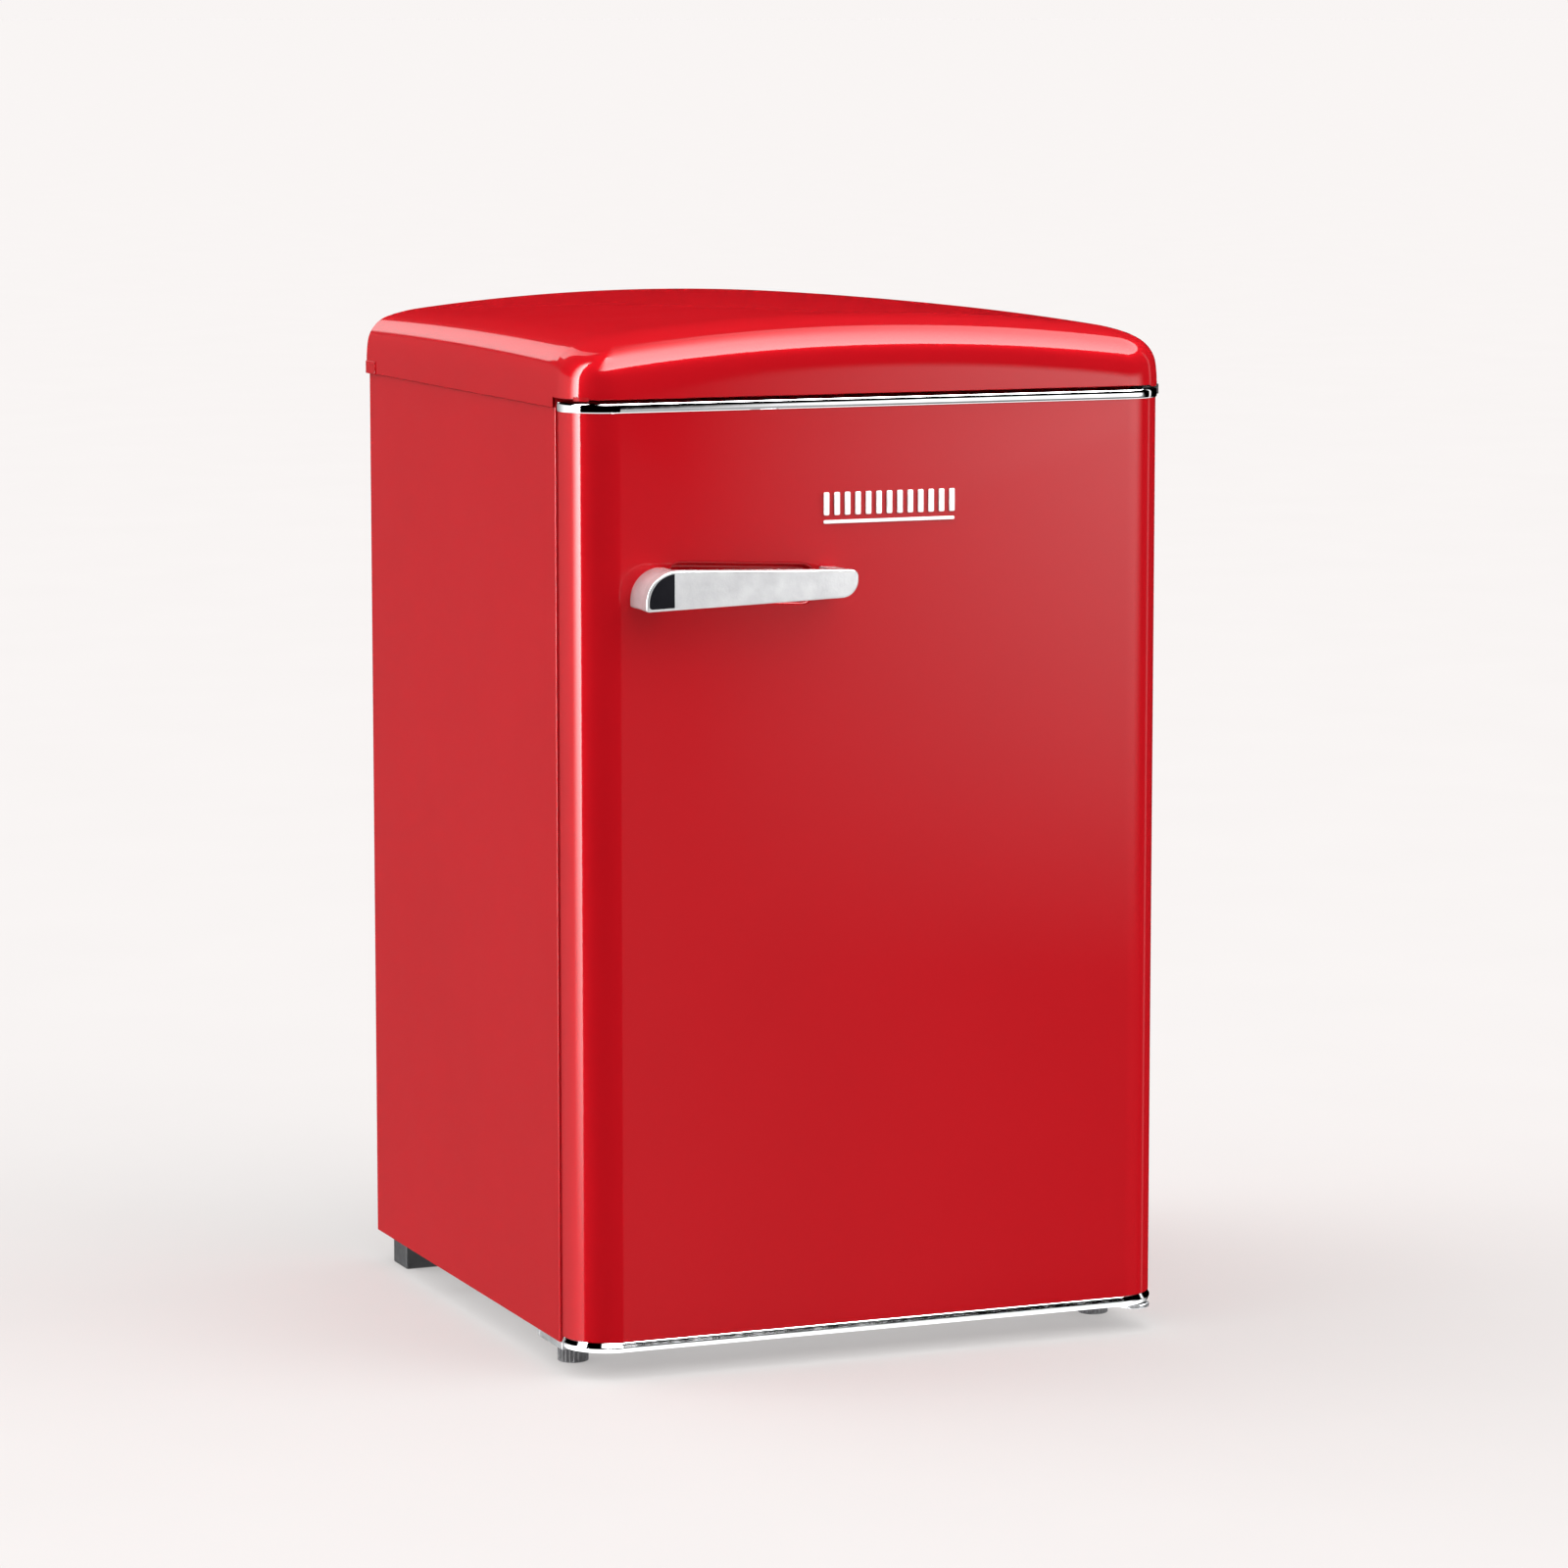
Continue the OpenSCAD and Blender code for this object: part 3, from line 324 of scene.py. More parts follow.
def galvanised():
    """Zinc-coated sheet with soft spangle."""
    m = Nodes("galvanised_steel", Metallic=1.0)
    cells = m.add("ShaderNodeTexVoronoi")
    cells.inputs["Scale"].default_value = 70.0
    m.link(m.coords, cells.inputs["Vector"])
    spangle = cells.outputs["Distance"]
    m.to(m.ramp(spangle, (0.50, 0.51, 0.52), (0.66, 0.67, 0.68), 0.1, 0.8), "Base Color")
    m.to(m.ramp(spangle, 0.32, 0.48, 0.1, 0.8), "Roughness")
    m.to(m.bump(m.noise(200.0), 0.00003, 0.3), "Normal")
    return m.material


def clear(name, tint, rough, transmission, **sockets):
    """Clear or lightly frosted plastic or glass."""
    m = Nodes(name, Transmission_Weight=transmission, **sockets)
    m.to(m.ramp(m.noise(20.0), [c * 0.97 for c in tint], tint), "Base Color")
    m.to(m.ramp(m.noise(60.0), *rough), "Roughness")
    m.to(m.bump(m.noise(35.0, 1.0), 0.00004, 0.2), "Normal")
    return m.material


MATERIALS = {
    "red_paint": red_paint(),
    "chrome": chrome(),
    "galvanised_steel": galvanised(),
    "steel": brushed("steel", (0.50, 0.50, 0.51), (0.70, 0.70, 0.70), (0.29, 0.4), (1, 1, 12)),
    "black_steel": mottled("black_steel", (0.012, 0.012, 0.013), (0.022, 0.022, 0.023), (0.32, 0.5),
                           25.0, 0.00006, 900.0, Coat_Weight=0.3, Coat_Roughness=0.3),
    "copper": mottled("copper", (0.62, 0.27, 0.14), (0.78, 0.40, 0.24), (0.29, 0.42), 60.0, 0.00003,
                      700.0, Metallic=1.0),
    "evaporator_aluminium": brushed("evaporator_aluminium", (0.72, 0.74, 0.76), (0.84, 0.85, 0.86),
                                    (0.3, 0.42), (1, 8, 1)),
    "white_liner": mottled("white_liner", (0.66, 0.675, 0.675), (0.70, 0.71, 0.705), (0.3, 0.38), 6.0,
                           0.00003, 260.0, Coat_Weight=0.2, Coat_Roughness=0.1),
    "white_plastic": mottled("white_plastic", (0.68, 0.68, 0.67), (0.73, 0.73, 0.72), (0.3, 0.42),
                             12.0, 0.00004, 800.0),
    "clear_plastic": clear("clear_plastic", (0.90, 0.96, 0.99), (0.08, 0.16), 0.85, IOR=1.35),
    "grey_plastic": mottled("grey_plastic", (0.10, 0.10, 0.105), (0.17, 0.17, 0.175), (0.4, 0.55),
                            80.0, 0.00008, 1200.0),
    "dark_plastic": mottled("dark_plastic", (0.018, 0.018, 0.02), (0.035, 0.035, 0.037),
                            (0.42, 0.6), 40.0, 0.00008, 900.0),
    "satin_plate": mottled("satin_plate", (0.52, 0.525, 0.535), (0.64, 0.645, 0.655),
                           (0.14, 0.24), 60.0, 0.00004, 500.0, Metallic=0.45),
    "black_enamel": mottled("black_enamel", (0.006, 0.006, 0.008), (0.011, 0.011, 0.014),
                            (0.1, 0.16), 30.0, 0.00002, 300.0, Specular_IOR_Level=0.05),
    "badge": mottled("badge_enamel", (0.80, 0.80, 0.80), (0.88, 0.88, 0.88), (0.12, 0.2), 40.0,
                     0.00002, 500.0, Coat_Weight=0.5),
    "gasket": mottled("gasket", (0.30, 0.30, 0.30), (0.38, 0.38, 0.375), (0.5, 0.65), 30.0,
                      0.00005, 600.0),
    "black_rubber": mottled("black_rubber", (0.014, 0.014, 0.014), (0.03, 0.03, 0.03), (0.6, 0.8),
                            60.0, 0.0001, 700.0),
    "foam": mottled("foam", (0.72, 0.60, 0.32), (0.84, 0.74, 0.46), (0.8, 0.95), 60.0, 0.0006, 400.0),
    "shelf_glass": clear("shelf_glass", (0.86, 0.97, 0.94), (0.01, 0.04), 1.0, IOR=1.3),
    "lamp_glass": clear("lamp_glass", (0.98, 0.95, 0.86), (0.3, 0.45), 0.6, IOR=1.45),
}
MATERIALS["red_lid"] = MATERIALS["red_paint"]
slot_of = {s["node"]: s["material_slot"] for s in frame["record"]["subparts"]}


def finish_cad(name, bevel):
    """Gives a carried-over CAD node its material, smooth shading and softened edges."""
    piece = nodes[name]
    piece.data.materials.clear()
    piece.data.materials.append(MATERIALS[slot_of[name]])
    smooth = piece.modifiers.new("smooth", "NODES")
    smooth.node_group = bpy.data.node_groups.get("smooth") or smooth_group()
    if bevel:
        add_bevel(piece, bevel * MM, 30)
    piece.modifiers.new("normals", "WEIGHTED_NORMAL").keep_sharp = True


def smooth_group():
    """Geometry nodes that weld a mesh and shade it smooth but for its real edges."""
    group = bpy.data.node_groups.new("smooth", "GeometryNodeTree")
    group.interface.new_socket("Geometry", in_out="INPUT", socket_type="NodeSocketGeometry")
    group.interface.new_socket("Geometry", in_out="OUTPUT", socket_type="NodeSocketGeometry")
    start = group.nodes.new("NodeGroupInput")
    weld = group.nodes.new("GeometryNodeMergeByDistance")
    weld.inputs["Distance"].default_value = 1e-5
    flat = group.nodes.new("GeometryNodeSetShadeSmooth")
    edge_angle = group.nodes.new("GeometryNodeInputMeshEdgeAngle")
    sharp = group.nodes.new("FunctionNodeCompare")
    sharp.operation = "GREATER_THAN"
    sharp.inputs["B"].default_value = math.radians(32)
    edges = group.nodes.new("GeometryNodeSetShadeSmooth")
    edges.domain = "EDGE"
    end = group.nodes.new("NodeGroupOutput")
    edges.inputs["Shade Smooth"].default_value = False
    group.links.new(start.outputs[0], weld.inputs["Geometry"])
    group.links.new(weld.outputs["Geometry"], flat.inputs["Geometry"])
    group.links.new(flat.outputs["Geometry"], edges.inputs["Geometry"])
    group.links.new(edge_angle.outputs["Unsigned Angle"], sharp.inputs["A"])
    group.links.new(sharp.outputs["Result"], edges.inputs["Selection"])
    group.links.new(edges.outputs["Geometry"], end.inputs[0])
    return group


# ------------------------------------------------------------------ lid

LID_TOP = lid_hi.z
LID_HALF = 274 * MM
LID_REAR = lid_hi.y
LID_SIDE_Z = lid_lo.z
LID_FRONT_Z = 829 * MM
LID_CORNER_R = 41 * MM
LID_WALL = 1.8 * MM
# The dome's fall to its sides and, over the same distance, to its front and rear of LID_MIDDLE
CROWN_RISE = 20 * MM
CROWN_DEEP = 3.3 * MM
LID_MIDDLE = 6 * MM
# Its edges roll off by one radius, starting this far in from the side and the front
ROLL_R = 160 * MM
ROLL_SIDE = 50 * MM
ROLL_FRONT = 67 * MM
# Section of the edge: a flank that leans by a few degrees, then a round of a smaller radius
FLANK_R = 120 * MM
FLANK = math.radians(8)
FLANK_PARTS = 5
EDGE_R = 28 * MM
EDGE_PARTS = 14
# Scales that draw the top's rings in towards its middle
TOP_SCALES = (0.975, 0.95, 0.925, 0.9, 0.875, 0.85, 0.82, 0.78, 0.72, 0.64, 0.56, 0.48, 0.4, 0.32,
              0.24, 0.16, 0.08, 0.03)


def crown(x, y):
    """The lid's height: a shallow dome that rolls off towards its sides and its front."""
    side = max(0.0, ROLL_SIDE - (LID_HALF - abs(x)))
    front = max(0.0, ROLL_FRONT - (y - Y_DOOR))
    dome = CROWN_RISE * (x / LID_HALF) ** 2 + CROWN_DEEP * ((y - LID_MIDDLE) / LID_HALF) ** 2
    return LID_TOP - dome - (side ** 2 + front ** 2) / (2 * ROLL_R)


def lid_section(p, n):
    """(inward, height) round the lid's edge at a plan point, from its flank up to the crown."""
    flank_in, flank_up = FLANK_R * (1 - math.cos(FLANK)), FLANK_R * math.sin(FLANK)
    end = math.radians(75)
    step = 0.5 * MM
    for _ in range(6):
        q = p - n * (flank_in + EDGE_R * (math.cos(FLANK) - math.cos(end)))
        further = q + n * step
        slope = (crown(q.x, q.y) - crown(further.x, further.y)) / step
        end = math.pi / 2 - math.atan(slope)
    base = crown(q.x, q.y) - flank_up - EDGE_R * (math.sin(end) - math.sin(FLANK))
    out = []
    for k in range(FLANK_PARTS):
        a = FLANK * k / FLANK_PARTS
        out.append((FLANK_R * (1 - math.cos(a)), base + FLANK_R * math.sin(a)))
    for k in range(EDGE_PARTS + 1):
        a = FLANK + (end - FLANK) * k / EDGE_PARTS
        out.append((flank_in + EDGE_R * (math.cos(FLANK) - math.cos(a)),
                    base + flank_up + EDGE_R * (math.sin(a) - math.sin(FLANK))))
    return out


def build_lid():
    """A thin moulding: domed top, round edges, a flat rear, and a skirt cut higher over the door.
    It is built past its rear, then cut off there."""
    cut = 0.15 * MM
    beyond = LID_REAR + 80 * MM
    lip_r = 0.7 * MM
    plan = rounded_outline([
        (LID_HALF, Y_CAB - cut, 0), (LID_HALF, Y_CAB, 0), (LID_HALF, beyond, 45 * MM),
        (-LID_HALF, beyond, 45 * MM), (-LID_HALF, Y_CAB, 0), (-LID_HALF, Y_CAB - cut, 0),
        (-LID_HALF, Y_DOOR, LID_CORNER_R), (LID_HALF, Y_DOOR, LID_CORNER_R)], 24, 12 * MM)
    foot, lip = [], []
    arcs = [[] for _ in range(FLANK_PARTS + EDGE_PARTS + 1)]
    for p, n in plan:
        n = n.normalized()
        bottom = LID_FRONT_Z if p.y < Y_CAB - cut / 2 else LID_SIDE_Z
        foot.append(Vector((*(p - n * lip_r), bottom)))
        lip.append(Vector((*p, bottom + lip_r)))
        for ring, (inward, z) in zip(arcs, lid_section(p, n)):
            ring.append(Vector((*(p - n * inward), z)))
    middle = (Y_DOOR + beyond) / 2
    top = []
    for scale in TOP_SCALES:
        ring = [(v.x * scale, middle + (v.y - middle) * scale) for v in arcs[-1]]
        top.append([Vector((x, y, crown(x, y))) for x, y in ring])
    bm = bmesh.new()
    loft(bm, [foot, lip] + arcs + top, caps=(False, True))
    bmesh.ops.bisect_plane(bm, geom=bm.verts[:] + bm.edges[:] + bm.faces[:], dist=1e-7,
                           plane_co=(0, LID_REAR, 0), plane_no=(0, 1, 0), clear_outer=True)
    below = 0.75
    bm.faces.new(sorted((v for v in bm.verts if abs(v.co.y - LID_REAR) < TOUCH),
                        key=lambda v: math.atan2(v.co.z - below, v.co.x)))
    make("lid", bm, "cabinet", MATERIALS["red_lid"], ["lid"], 40, solid=LID_WALL,
         away=(0, 0, 0.8))
    bm = bmesh.new()
    tab, tab_h = 26 * MM, 11.5 * MM
    for side in (-1, 1):
        lo, hi = sorted((side * (LID_HALF - 1.5 * MM), side * lid_hi.x))
        block(bm, (lo, LID_REAR - tab, LID_SIDE_Z), (hi, LID_REAR, LID_SIDE_Z + tab_h), 0.4 * MM)
    make("lid_tabs", bm, "cabinet", MATERIALS["red_lid"])


# ------------------------------------------------------------------ door

# The finger recess behind the handle, as in the CAD, but for a higher lower edge
RECESS_X = (-192 * MM, -58 * MM)
RECESS_Z = 671 * MM
RECESS_UP = 20 * MM
RECESS_DOWN = 15 * MM
RECESS_R = 12 * MM
RECESS_DEEP = 14 * MM
RECESS_TILT = math.radians(-2.8)
# (inset in mm, share of the height) up each trim's section
TOP_STEPS = [(1.6, 0), (0.7, 0.02), (0.2, 0.09), (0.0, 0.22), (0.0, 0.5), (0.05, 0.72),
             (0.35, 0.88), (0.9, 0.97), (1.8, 1.0), (6.0, 1.0)]
BOTTOM_STEPS = [(6.0, 0), (2.0, 0.0), (1.5, 0.02), (1.25, 0.07), (0.12, 0.37), (0.0, 0.43),
                (0.0, 0.49), (0.15, 0.54), (1.8, 0.86), (2.1, 0.95), (2.6, 1.0), (6.0, 1.0)]
HANDLE_LEFT = -225 * MM
HANDLE_RIGHT = -35 * MM
HANDLE_POSTS = ((HANDLE_LEFT, -195 * MM), (-55 * MM, -36.5 * MM))
INLAY_RIGHT = -200 * MM
# (inset in mm, share of the depth) round the gasket's section, from its seat and back to it
GASKET_STEPS = [(0.8, 0), (0.0, 0.12), (0.6, 0.3), (2.2, 0.42), (2.2, 0.5), (0.5, 0.6), (0.0, 0.78),
                (0.3, 0.93), (1.2, 1.0), (5.5, 1.0), (6.2, 0.94), (7.2, 0.94), (8.0, 1.0),
                (12.6, 1.0), (13.6, 0.9), (14.0, 0.74), (13.4, 0.58), (11.8, 0.5), (11.8, 0.42),
                (13.5, 0.3), (14.0, 0.12), (13.2, 0)]
DIKE_HALF = 226 * MM
DIKE_Z = (78 * MM, 786 * MM)
DIKE_WIDE = 15 * MM
POCKET_Y = -237 * MM


def recess_rings():
    """Rings down the recess: a rolled rim, a wall and a rounded foot."""
    middle = sum(RECESS_X) / 2
    half = (RECESS_X[1] - RECESS_X[0]) / 2
    base = rect(-half, half, -RECESS_DOWN, RECESS_UP, RECESS_R, 10)

    def ring(by, depth):
        points = []
        for p in inset(base, by):
            u = p.x * math.cos(RECESS_TILT) - p.y * math.sin(RECESS_TILT)
            v = p.x * math.sin(RECESS_TILT) + p.y * math.cos(RECESS_TILT)
            points.append(Vector((middle + u, Y_DOOR + depth, RECESS_Z + v)))
        return points

    rim, outset, foot = 2.6 * MM, 0.6 * MM, 5 * MM
    wall = rim - outset + 0.2 * MM
    rings = [ring(rim * math.sin(a) - outset, rim * (1 - math.cos(a))) for a in quarter(6)]
    rings += [ring(wall + foot * (1 - math.cos(a)), RECESS_DEEP - foot + foot * math.sin(a))
              for a in quarter(6)]
    return rings


def build_door_skin():
    """The wrapped sheet with the finger recess pressed into its front."""
    bm = bmesh.new()
    plan = rounded_outline([
        (-DOOR_HALF, Y_FLANGE, 0), (-DOOR_HALF, Y_DOOR, DOOR_R),
        (DOOR_HALF, Y_DOOR, DOOR_R), (DOOR_HALF, Y_FLANGE, 0)], 24, closed=False)
    flat_x = DOOR_HALF - DOOR_R
    levels = [skin_lo.z + (skin_hi.z - skin_lo.z) * i / 24 for i in range(25)]
    for side in (-1, 1):
        wrap = [p for p, _ in plan if side * p.x > flat_x - TOUCH]
        loft(bm, [on_z(wrap, z) for z in levels], (False, False), False)
    rim = loft(bm, recess_rings(), (False, True))[0]
    hole = [bm.edges.get((rim[i], rim[i - 1])) for i in range(len(rim))]
    bmesh.ops.remove_doubles(bm, verts=bm.verts, dist=TOUCH)
    border = [e for e in bm.edges if len(e.link_faces) == 1
              and all(abs(abs(v.co.x) - flat_x) < TOUCH and abs(v.co.y - Y_DOOR) < TOUCH
                      for v in e.verts)]
    ends = {v for e in border for v in e.verts}
    for z in (skin_hi.z, skin_lo.z):
        border.append(bm.edges.new(sorted((v for v in ends if abs(v.co.z - z) < TOUCH),
                                          key=lambda v: v.co.x)))
    bmesh.ops.triangle_fill(bm, use_beauty=True, edges=border + hole, normal=(0, -1, 0))
    make("door_skin", bm, "door", MATERIALS["red_paint"], ["door_skin"], 40,
         solid=SHEET, away=DOOR_MIDDLE)


def build_trims():
    """Plated end caps: a rounded band at the top, and one with a ridge at the bottom."""
    for name, steps in (("door_top_trim", TOP_STEPS), ("door_bottom_trim", BOTTOM_STEPS)):
        lo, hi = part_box(name)
        proud = hi.x - DOOR_HALF
        plan = rounded_outline([
            (-hi.x, Y_FLANGE, 1.5 * MM), (-hi.x, Y_DOOR - proud, DOOR_R + proud),
            (hi.x, Y_DOOR - proud, DOOR_R + proud), (hi.x, Y_FLANGE, 1.5 * MM)], 24)
        bm = bmesh.new()
        loft(bm, [on_z(inset(plan, i * MM), lo.z + (hi.z - lo.z) * t) for i, t in steps])
        make(name, bm, "door", MATERIALS["chrome"], [name], 30)


def handle_outline(by):
    """The handle's tapering front shape, drawn in by a border width."""
    left, right = HANDLE_LEFT + by, HANDLE_RIGHT - by
    return rounded_outline([
        (left, 655.7 * MM + by, 3 * MM), (right, 661.8 * MM + by, 15 * MM - by),
        (right, 684.8 * MM - by, 6 * MM - by), (left, 690.5 * MM - by, 27 * MM - by)], 12)


def between(points, x0, x1):
    """Clips a closed polygon to the strip from x0 to x1."""
    for sign, limit in ((1, x0), (-1, x1)):
        kept = []
        for a, b in zip(points, points[1:] + points[:1]):
            if sign * (a.x - limit) >= 0:
                kept.append(a)
            if (a.x - limit) * (b.x - limit) < 0:
                kept.append(a.lerp(b, (limit - a.x) / (b.x - a.x)))
        points = kept
    return points


def offset_polygon(points, by):
    """Moves a closed anticlockwise polygon's points inward by a width."""
    out = []
    count = len(points)
    for i, p in enumerate(points):
        a = (p - points[i - 1]).normalized()
        b = (points[(i + 1) % count] - p).normalized()
        na, nb = Vector((a.y, -a.x)), Vector((b.y, -b.x))
        out.append(p - (na + nb) / max(0.3, 1 + na.dot(nb)) * by)
    return out


def build_handle():
    """A tapering bar on a deep left post and a slim right one, with a dark inlay."""
    y0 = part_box("handle")[0].y
    outline = handle_outline(0)
    bar = 12 * MM
    bm = bmesh.new()
    rings = [on_y(inset(outline, i), y0 + d) for i, d in edge_round(1.8 * MM, 5)]
    rings += [on_y(inset(outline, i), y0 + bar - d) for i, d in reversed(edge_round(1.2 * MM, 3))]
    loft(bm, rings)
    for x0, x1 in HANDLE_POSTS:
        post = offset_polygon(between([p for p, _ in outline], x0, x1), 0.6 * MM)
        loft(bm, [on_y(post, y0 + bar - 4 * MM), on_y(post, Y_DOOR)])
    make("handle", bm, "door", MATERIALS["satin_plate"], ["handle"], weld=False)
    bm = bmesh.new()
    proud, sunk = 0.25 * MM, 1.5 * MM
    plate = between([p for p, _ in handle_outline(2.4 * MM)], HANDLE_LEFT, INLAY_RIGHT)
    rings = [on_y(offset_polygon(plate, i), y0 - proud + d) for i, d in edge_round(0.5 * MM, 3)]
    loft(bm, rings + [on_y(plate, y0 + sunk)])
    make("handle_inlay", bm, "door", MATERIALS["black_enamel"],
         ["handle_inlay"])


def build_badge():
    """A generic ornament: a row of upright bars over one thin bar."""
    lo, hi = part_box("door_badge")
    bars, wide, bars_z, round_r = 13, 5 * MM, 727.5 * MM, 1.2 * MM
    bm = bmesh.new()
    for k in range(bars):
        x = lo.x + (hi.x - lo.x - wide) * k / (bars - 1)
        slab(bm, rect(x, x + wide, bars_z, hi.z, round_r), on_y, lo.y, Y_DOOR, 0.7 * MM)
    thin, thin_proud = 3 * MM, 1.6 * MM
    slab(bm, rect(lo.x, hi.x, lo.z, lo.z + thin, round_r), on_y, Y_DOOR - thin_proud, Y_DOOR,
         0.5 * MM)
    make("door_badge", bm, "door", MATERIALS["badge"], ["door_badge"],
         weld=False)


def build_gasket():
    """The magnetic seal: a soft bellows ring in a rounded rectangle."""
    lo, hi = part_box("door_gasket")
    outer = rect(lo.x, hi.x, lo.z, hi.z, 4 * MM, 5)
    rings = [on_y(inset(outer, i * MM), lo.y + (hi.y - lo.y) * t) for i, t in GASKET_STEPS]
    bm = bmesh.new()
    loft(bm, rings + rings[:1], (False, False))
    make("door_gasket", bm, "door", MATERIALS["gasket"], ["door_gasket"], 50)


def build_door_liner():
    """The thermoformed inner door: a flat border, a raised ring and a deep pocket."""
    half = DOOR_HALF - 0.9 * MM
    ring_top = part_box("door_liner")[1].y
    border = rect(-half, half, skin_lo.z, skin_hi.z, 1 * MM, 8)
    dike = rect(-DIKE_HALF, DIKE_HALF, *DIKE_Z, 14 * MM, 8)
    pocket_half = DIKE_HALF - DIKE_WIDE
    pocket = rect(-pocket_half, pocket_half, DIKE_Z[0] + DIKE_WIDE, DIKE_Z[1] - DIKE_WIDE, 12 * MM, 8)
    edge, root, crest, floor_r = 0.4 * MM, 3 * MM, 5 * MM, 8 * MM
    rings = [on_y(inset(border, 0), Y_FLANGE - 2 * MM), on_y(inset(border, 0), Y_FLANGE - edge),
             on_y(inset(border, edge), Y_FLANGE)]
    rings += [on_y(inset(dike, -root * (1 - math.sin(a))), Y_FLANGE + root * (1 - math.cos(a)))
              for a in quarter(4)]
    rings += [on_y(inset(dike, crest * (1 - math.cos(a))), ring_top - crest * (1 - math.sin(a)))
              for a in quarter(6)]
    rings += [on_y(inset(pocket, -crest * (1 - math.sin(a))), ring_top - crest * (1 - math.cos(a)))
              for a in quarter(6)]
    rings += [on_y(inset(pocket, floor_r * (1 - math.cos(a))), POCKET_Y + floor_r * (1 - math.sin(a)))
              for a in quarter(6)]
    bm = bmesh.new()
    loft(bm, rings, (False, True))
    make("door_liner", bm, "door", MATERIALS["white_liner"], ["door_liner"],
         45, solid=1.2 * MM, away=(0, -1, DOOR_MIDDLE[2]))


# ------------------------------------------------------------------ cabinet


CAVITY_HALF = 230.8 * MM
CAVITY_R = 12 * MM
CAVITY_FLOOR = 72 * MM
CAVITY_TOP = 792 * MM
CAVITY_REAR = 230.5 * MM
# The step over the compressor
STEP_Y = 70 * MM
STEP_Z = 262 * MM
# The liner's flat rim round the cavity
RIM_HALF = 251.8 * MM
RIM_WIDE = 16 * MM
# A front foot's ribbed grip and the stud above it
FOOT_RIBS = 24
GRIP_TOP = 17.5 * MM
STUD_R = 5 * MM
# In mm: the ribs' depth, the pitch of the grooves across them, and (height, inset) up one groove
RIB_DEEP = 0.9
GROOVES = 12
GROOVE_PITCH = 1.25
GROOVE_STEPS = [(0.55, 0), (0.75, 0.22), (1.05, 0.22), (1.25, 0)]


def build_side_panels():
    """Painted side sheets, folded in at the front round a small bend."""
    lo, hi = panel_lo, panel_hi
    fold = rounded_outline([(-CAB_HALF, Y_BACK, 0), (-CAB_HALF, Y_CAB, 2.2 * MM), (hi.x, Y_CAB, 0)],
                           8, 60 * MM, closed=False)
    for name, side in (("side_panel_left", -1), ("side_panel_right", 1)):
        line = [Vector((-side * p.x, p.y)) for p, _ in fold]
        bm = bmesh.new()
        loft(bm, [on_z(line, lo.z + (hi.z - lo.z) * i / 12) for i in range(13)], (False, False), False)
        make(name, bm, "cabinet", MATERIALS["red_paint"], [name], 30,
             solid=SHEET, away=(0, 0.2, 0.4))


def build_inner_liner():
    """The cavity as one smooth shell with a flat rim at the front."""
    profile = rounded_outline([
        (Y_CAB, CAVITY_FLOOR, 0), (STEP_Y, CAVITY_FLOOR, CAVITY_R), (STEP_Y, STEP_Z, CAVITY_R),
        (CAVITY_REAR, STEP_Z, CAVITY_R), (CAVITY_REAR, CAVITY_TOP, CAVITY_R), (Y_CAB, CAVITY_TOP, 0)], 6)

    def cut(by):
        return [Vector((Y_CAB, p.y)) if q.x < Y_CAB + TOUCH else p
                for p, (q, _) in zip(inset(profile, by), profile)]

    ends = edge_round(11 * MM, 6)
    rings = [on_x(cut(i), -CAVITY_HALF + d) for i, d in ends]
    rings += [on_x(cut(i), CAVITY_HALF - d) for i, d in reversed(ends)]
    bm = bmesh.new()
    loft(bm, rings)
    front = [f for f in bm.faces if all(abs(v.co.y - Y_CAB) < TOUCH for v in f.verts)]
    bmesh.ops.delete(bm, geom=front, context="FACES")
    hole = [e for e in bm.edges if len(e.link_faces) == 1]
    corners = rect(-RIM_HALF, RIM_HALF, CAVITY_FLOOR - RIM_WIDE, CAVITY_TOP + RIM_WIDE, 0)
    outer = [bm.verts.new(p) for p in on_y([p for p, _ in corners], Y_CAB)]
    border = [bm.edges.new((outer[i], outer[i - 1])) for i in range(4)]
    bmesh.ops.triangle_fill(bm, use_beauty=True, edges=hole + border, normal=(0, -1, 0))
    make("inner_liner", bm, "cabinet", MATERIALS["white_liner"],
         ["inner_liner"], solid=-1.6 * MM, away=(0, 0, 0.45))


def build_feet():
    """Levelling feet with a ribbed grip crossed by fine grooves."""
    # (height, inset) in mm up the grip
    steps = [(0, 1.2), (0.5, 0.3), (1.2, 0)]
    for k in range(GROOVES):
        steps += [(1.2 + k * GROOVE_PITCH + rise, by) for rise, by in GROOVE_STEPS]
    steps += [(16.8, 0.1), (17.3, 0.5), (GRIP_TOP / MM, 1.2)]
    sides = FOOT_RIBS * 6
    for name in ("front_foot_left", "front_foot_right"):
        lo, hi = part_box(name)
        x, y, r = (lo.x + hi.x) / 2, (lo.y + hi.y) / 2, (hi.x - lo.x) / 2
        rings = []
        for h, by in steps:
            ring = []
            for i in range(sides):
                a = 2 * math.pi * i / sides
                ribbed = max(0.0, math.cos(FOOT_RIBS * a)) ** 2 if 1 < h < 17 else 1
                rr = r - (by + RIB_DEEP * (1 - ribbed)) * MM
                ring.append(Vector((x + rr * math.cos(a), y + rr * math.sin(a), h * MM)))
            rings.append(ring)
        bm = bmesh.new()
        loft(bm, rings)
        upright_rod(bm, x, y, STUD_R, GRIP_TOP - 0.1 * MM, hi.z, 0.3 * MM)
        make(name, bm, name, MATERIALS[slot_of[name]], [name], 40, weld=False)


build_lid()
build_door_skin()
build_trims()
build_handle()
build_badge()
build_gasket()
build_door_liner()
build_side_panels()
build_inner_liner()
build_feet()

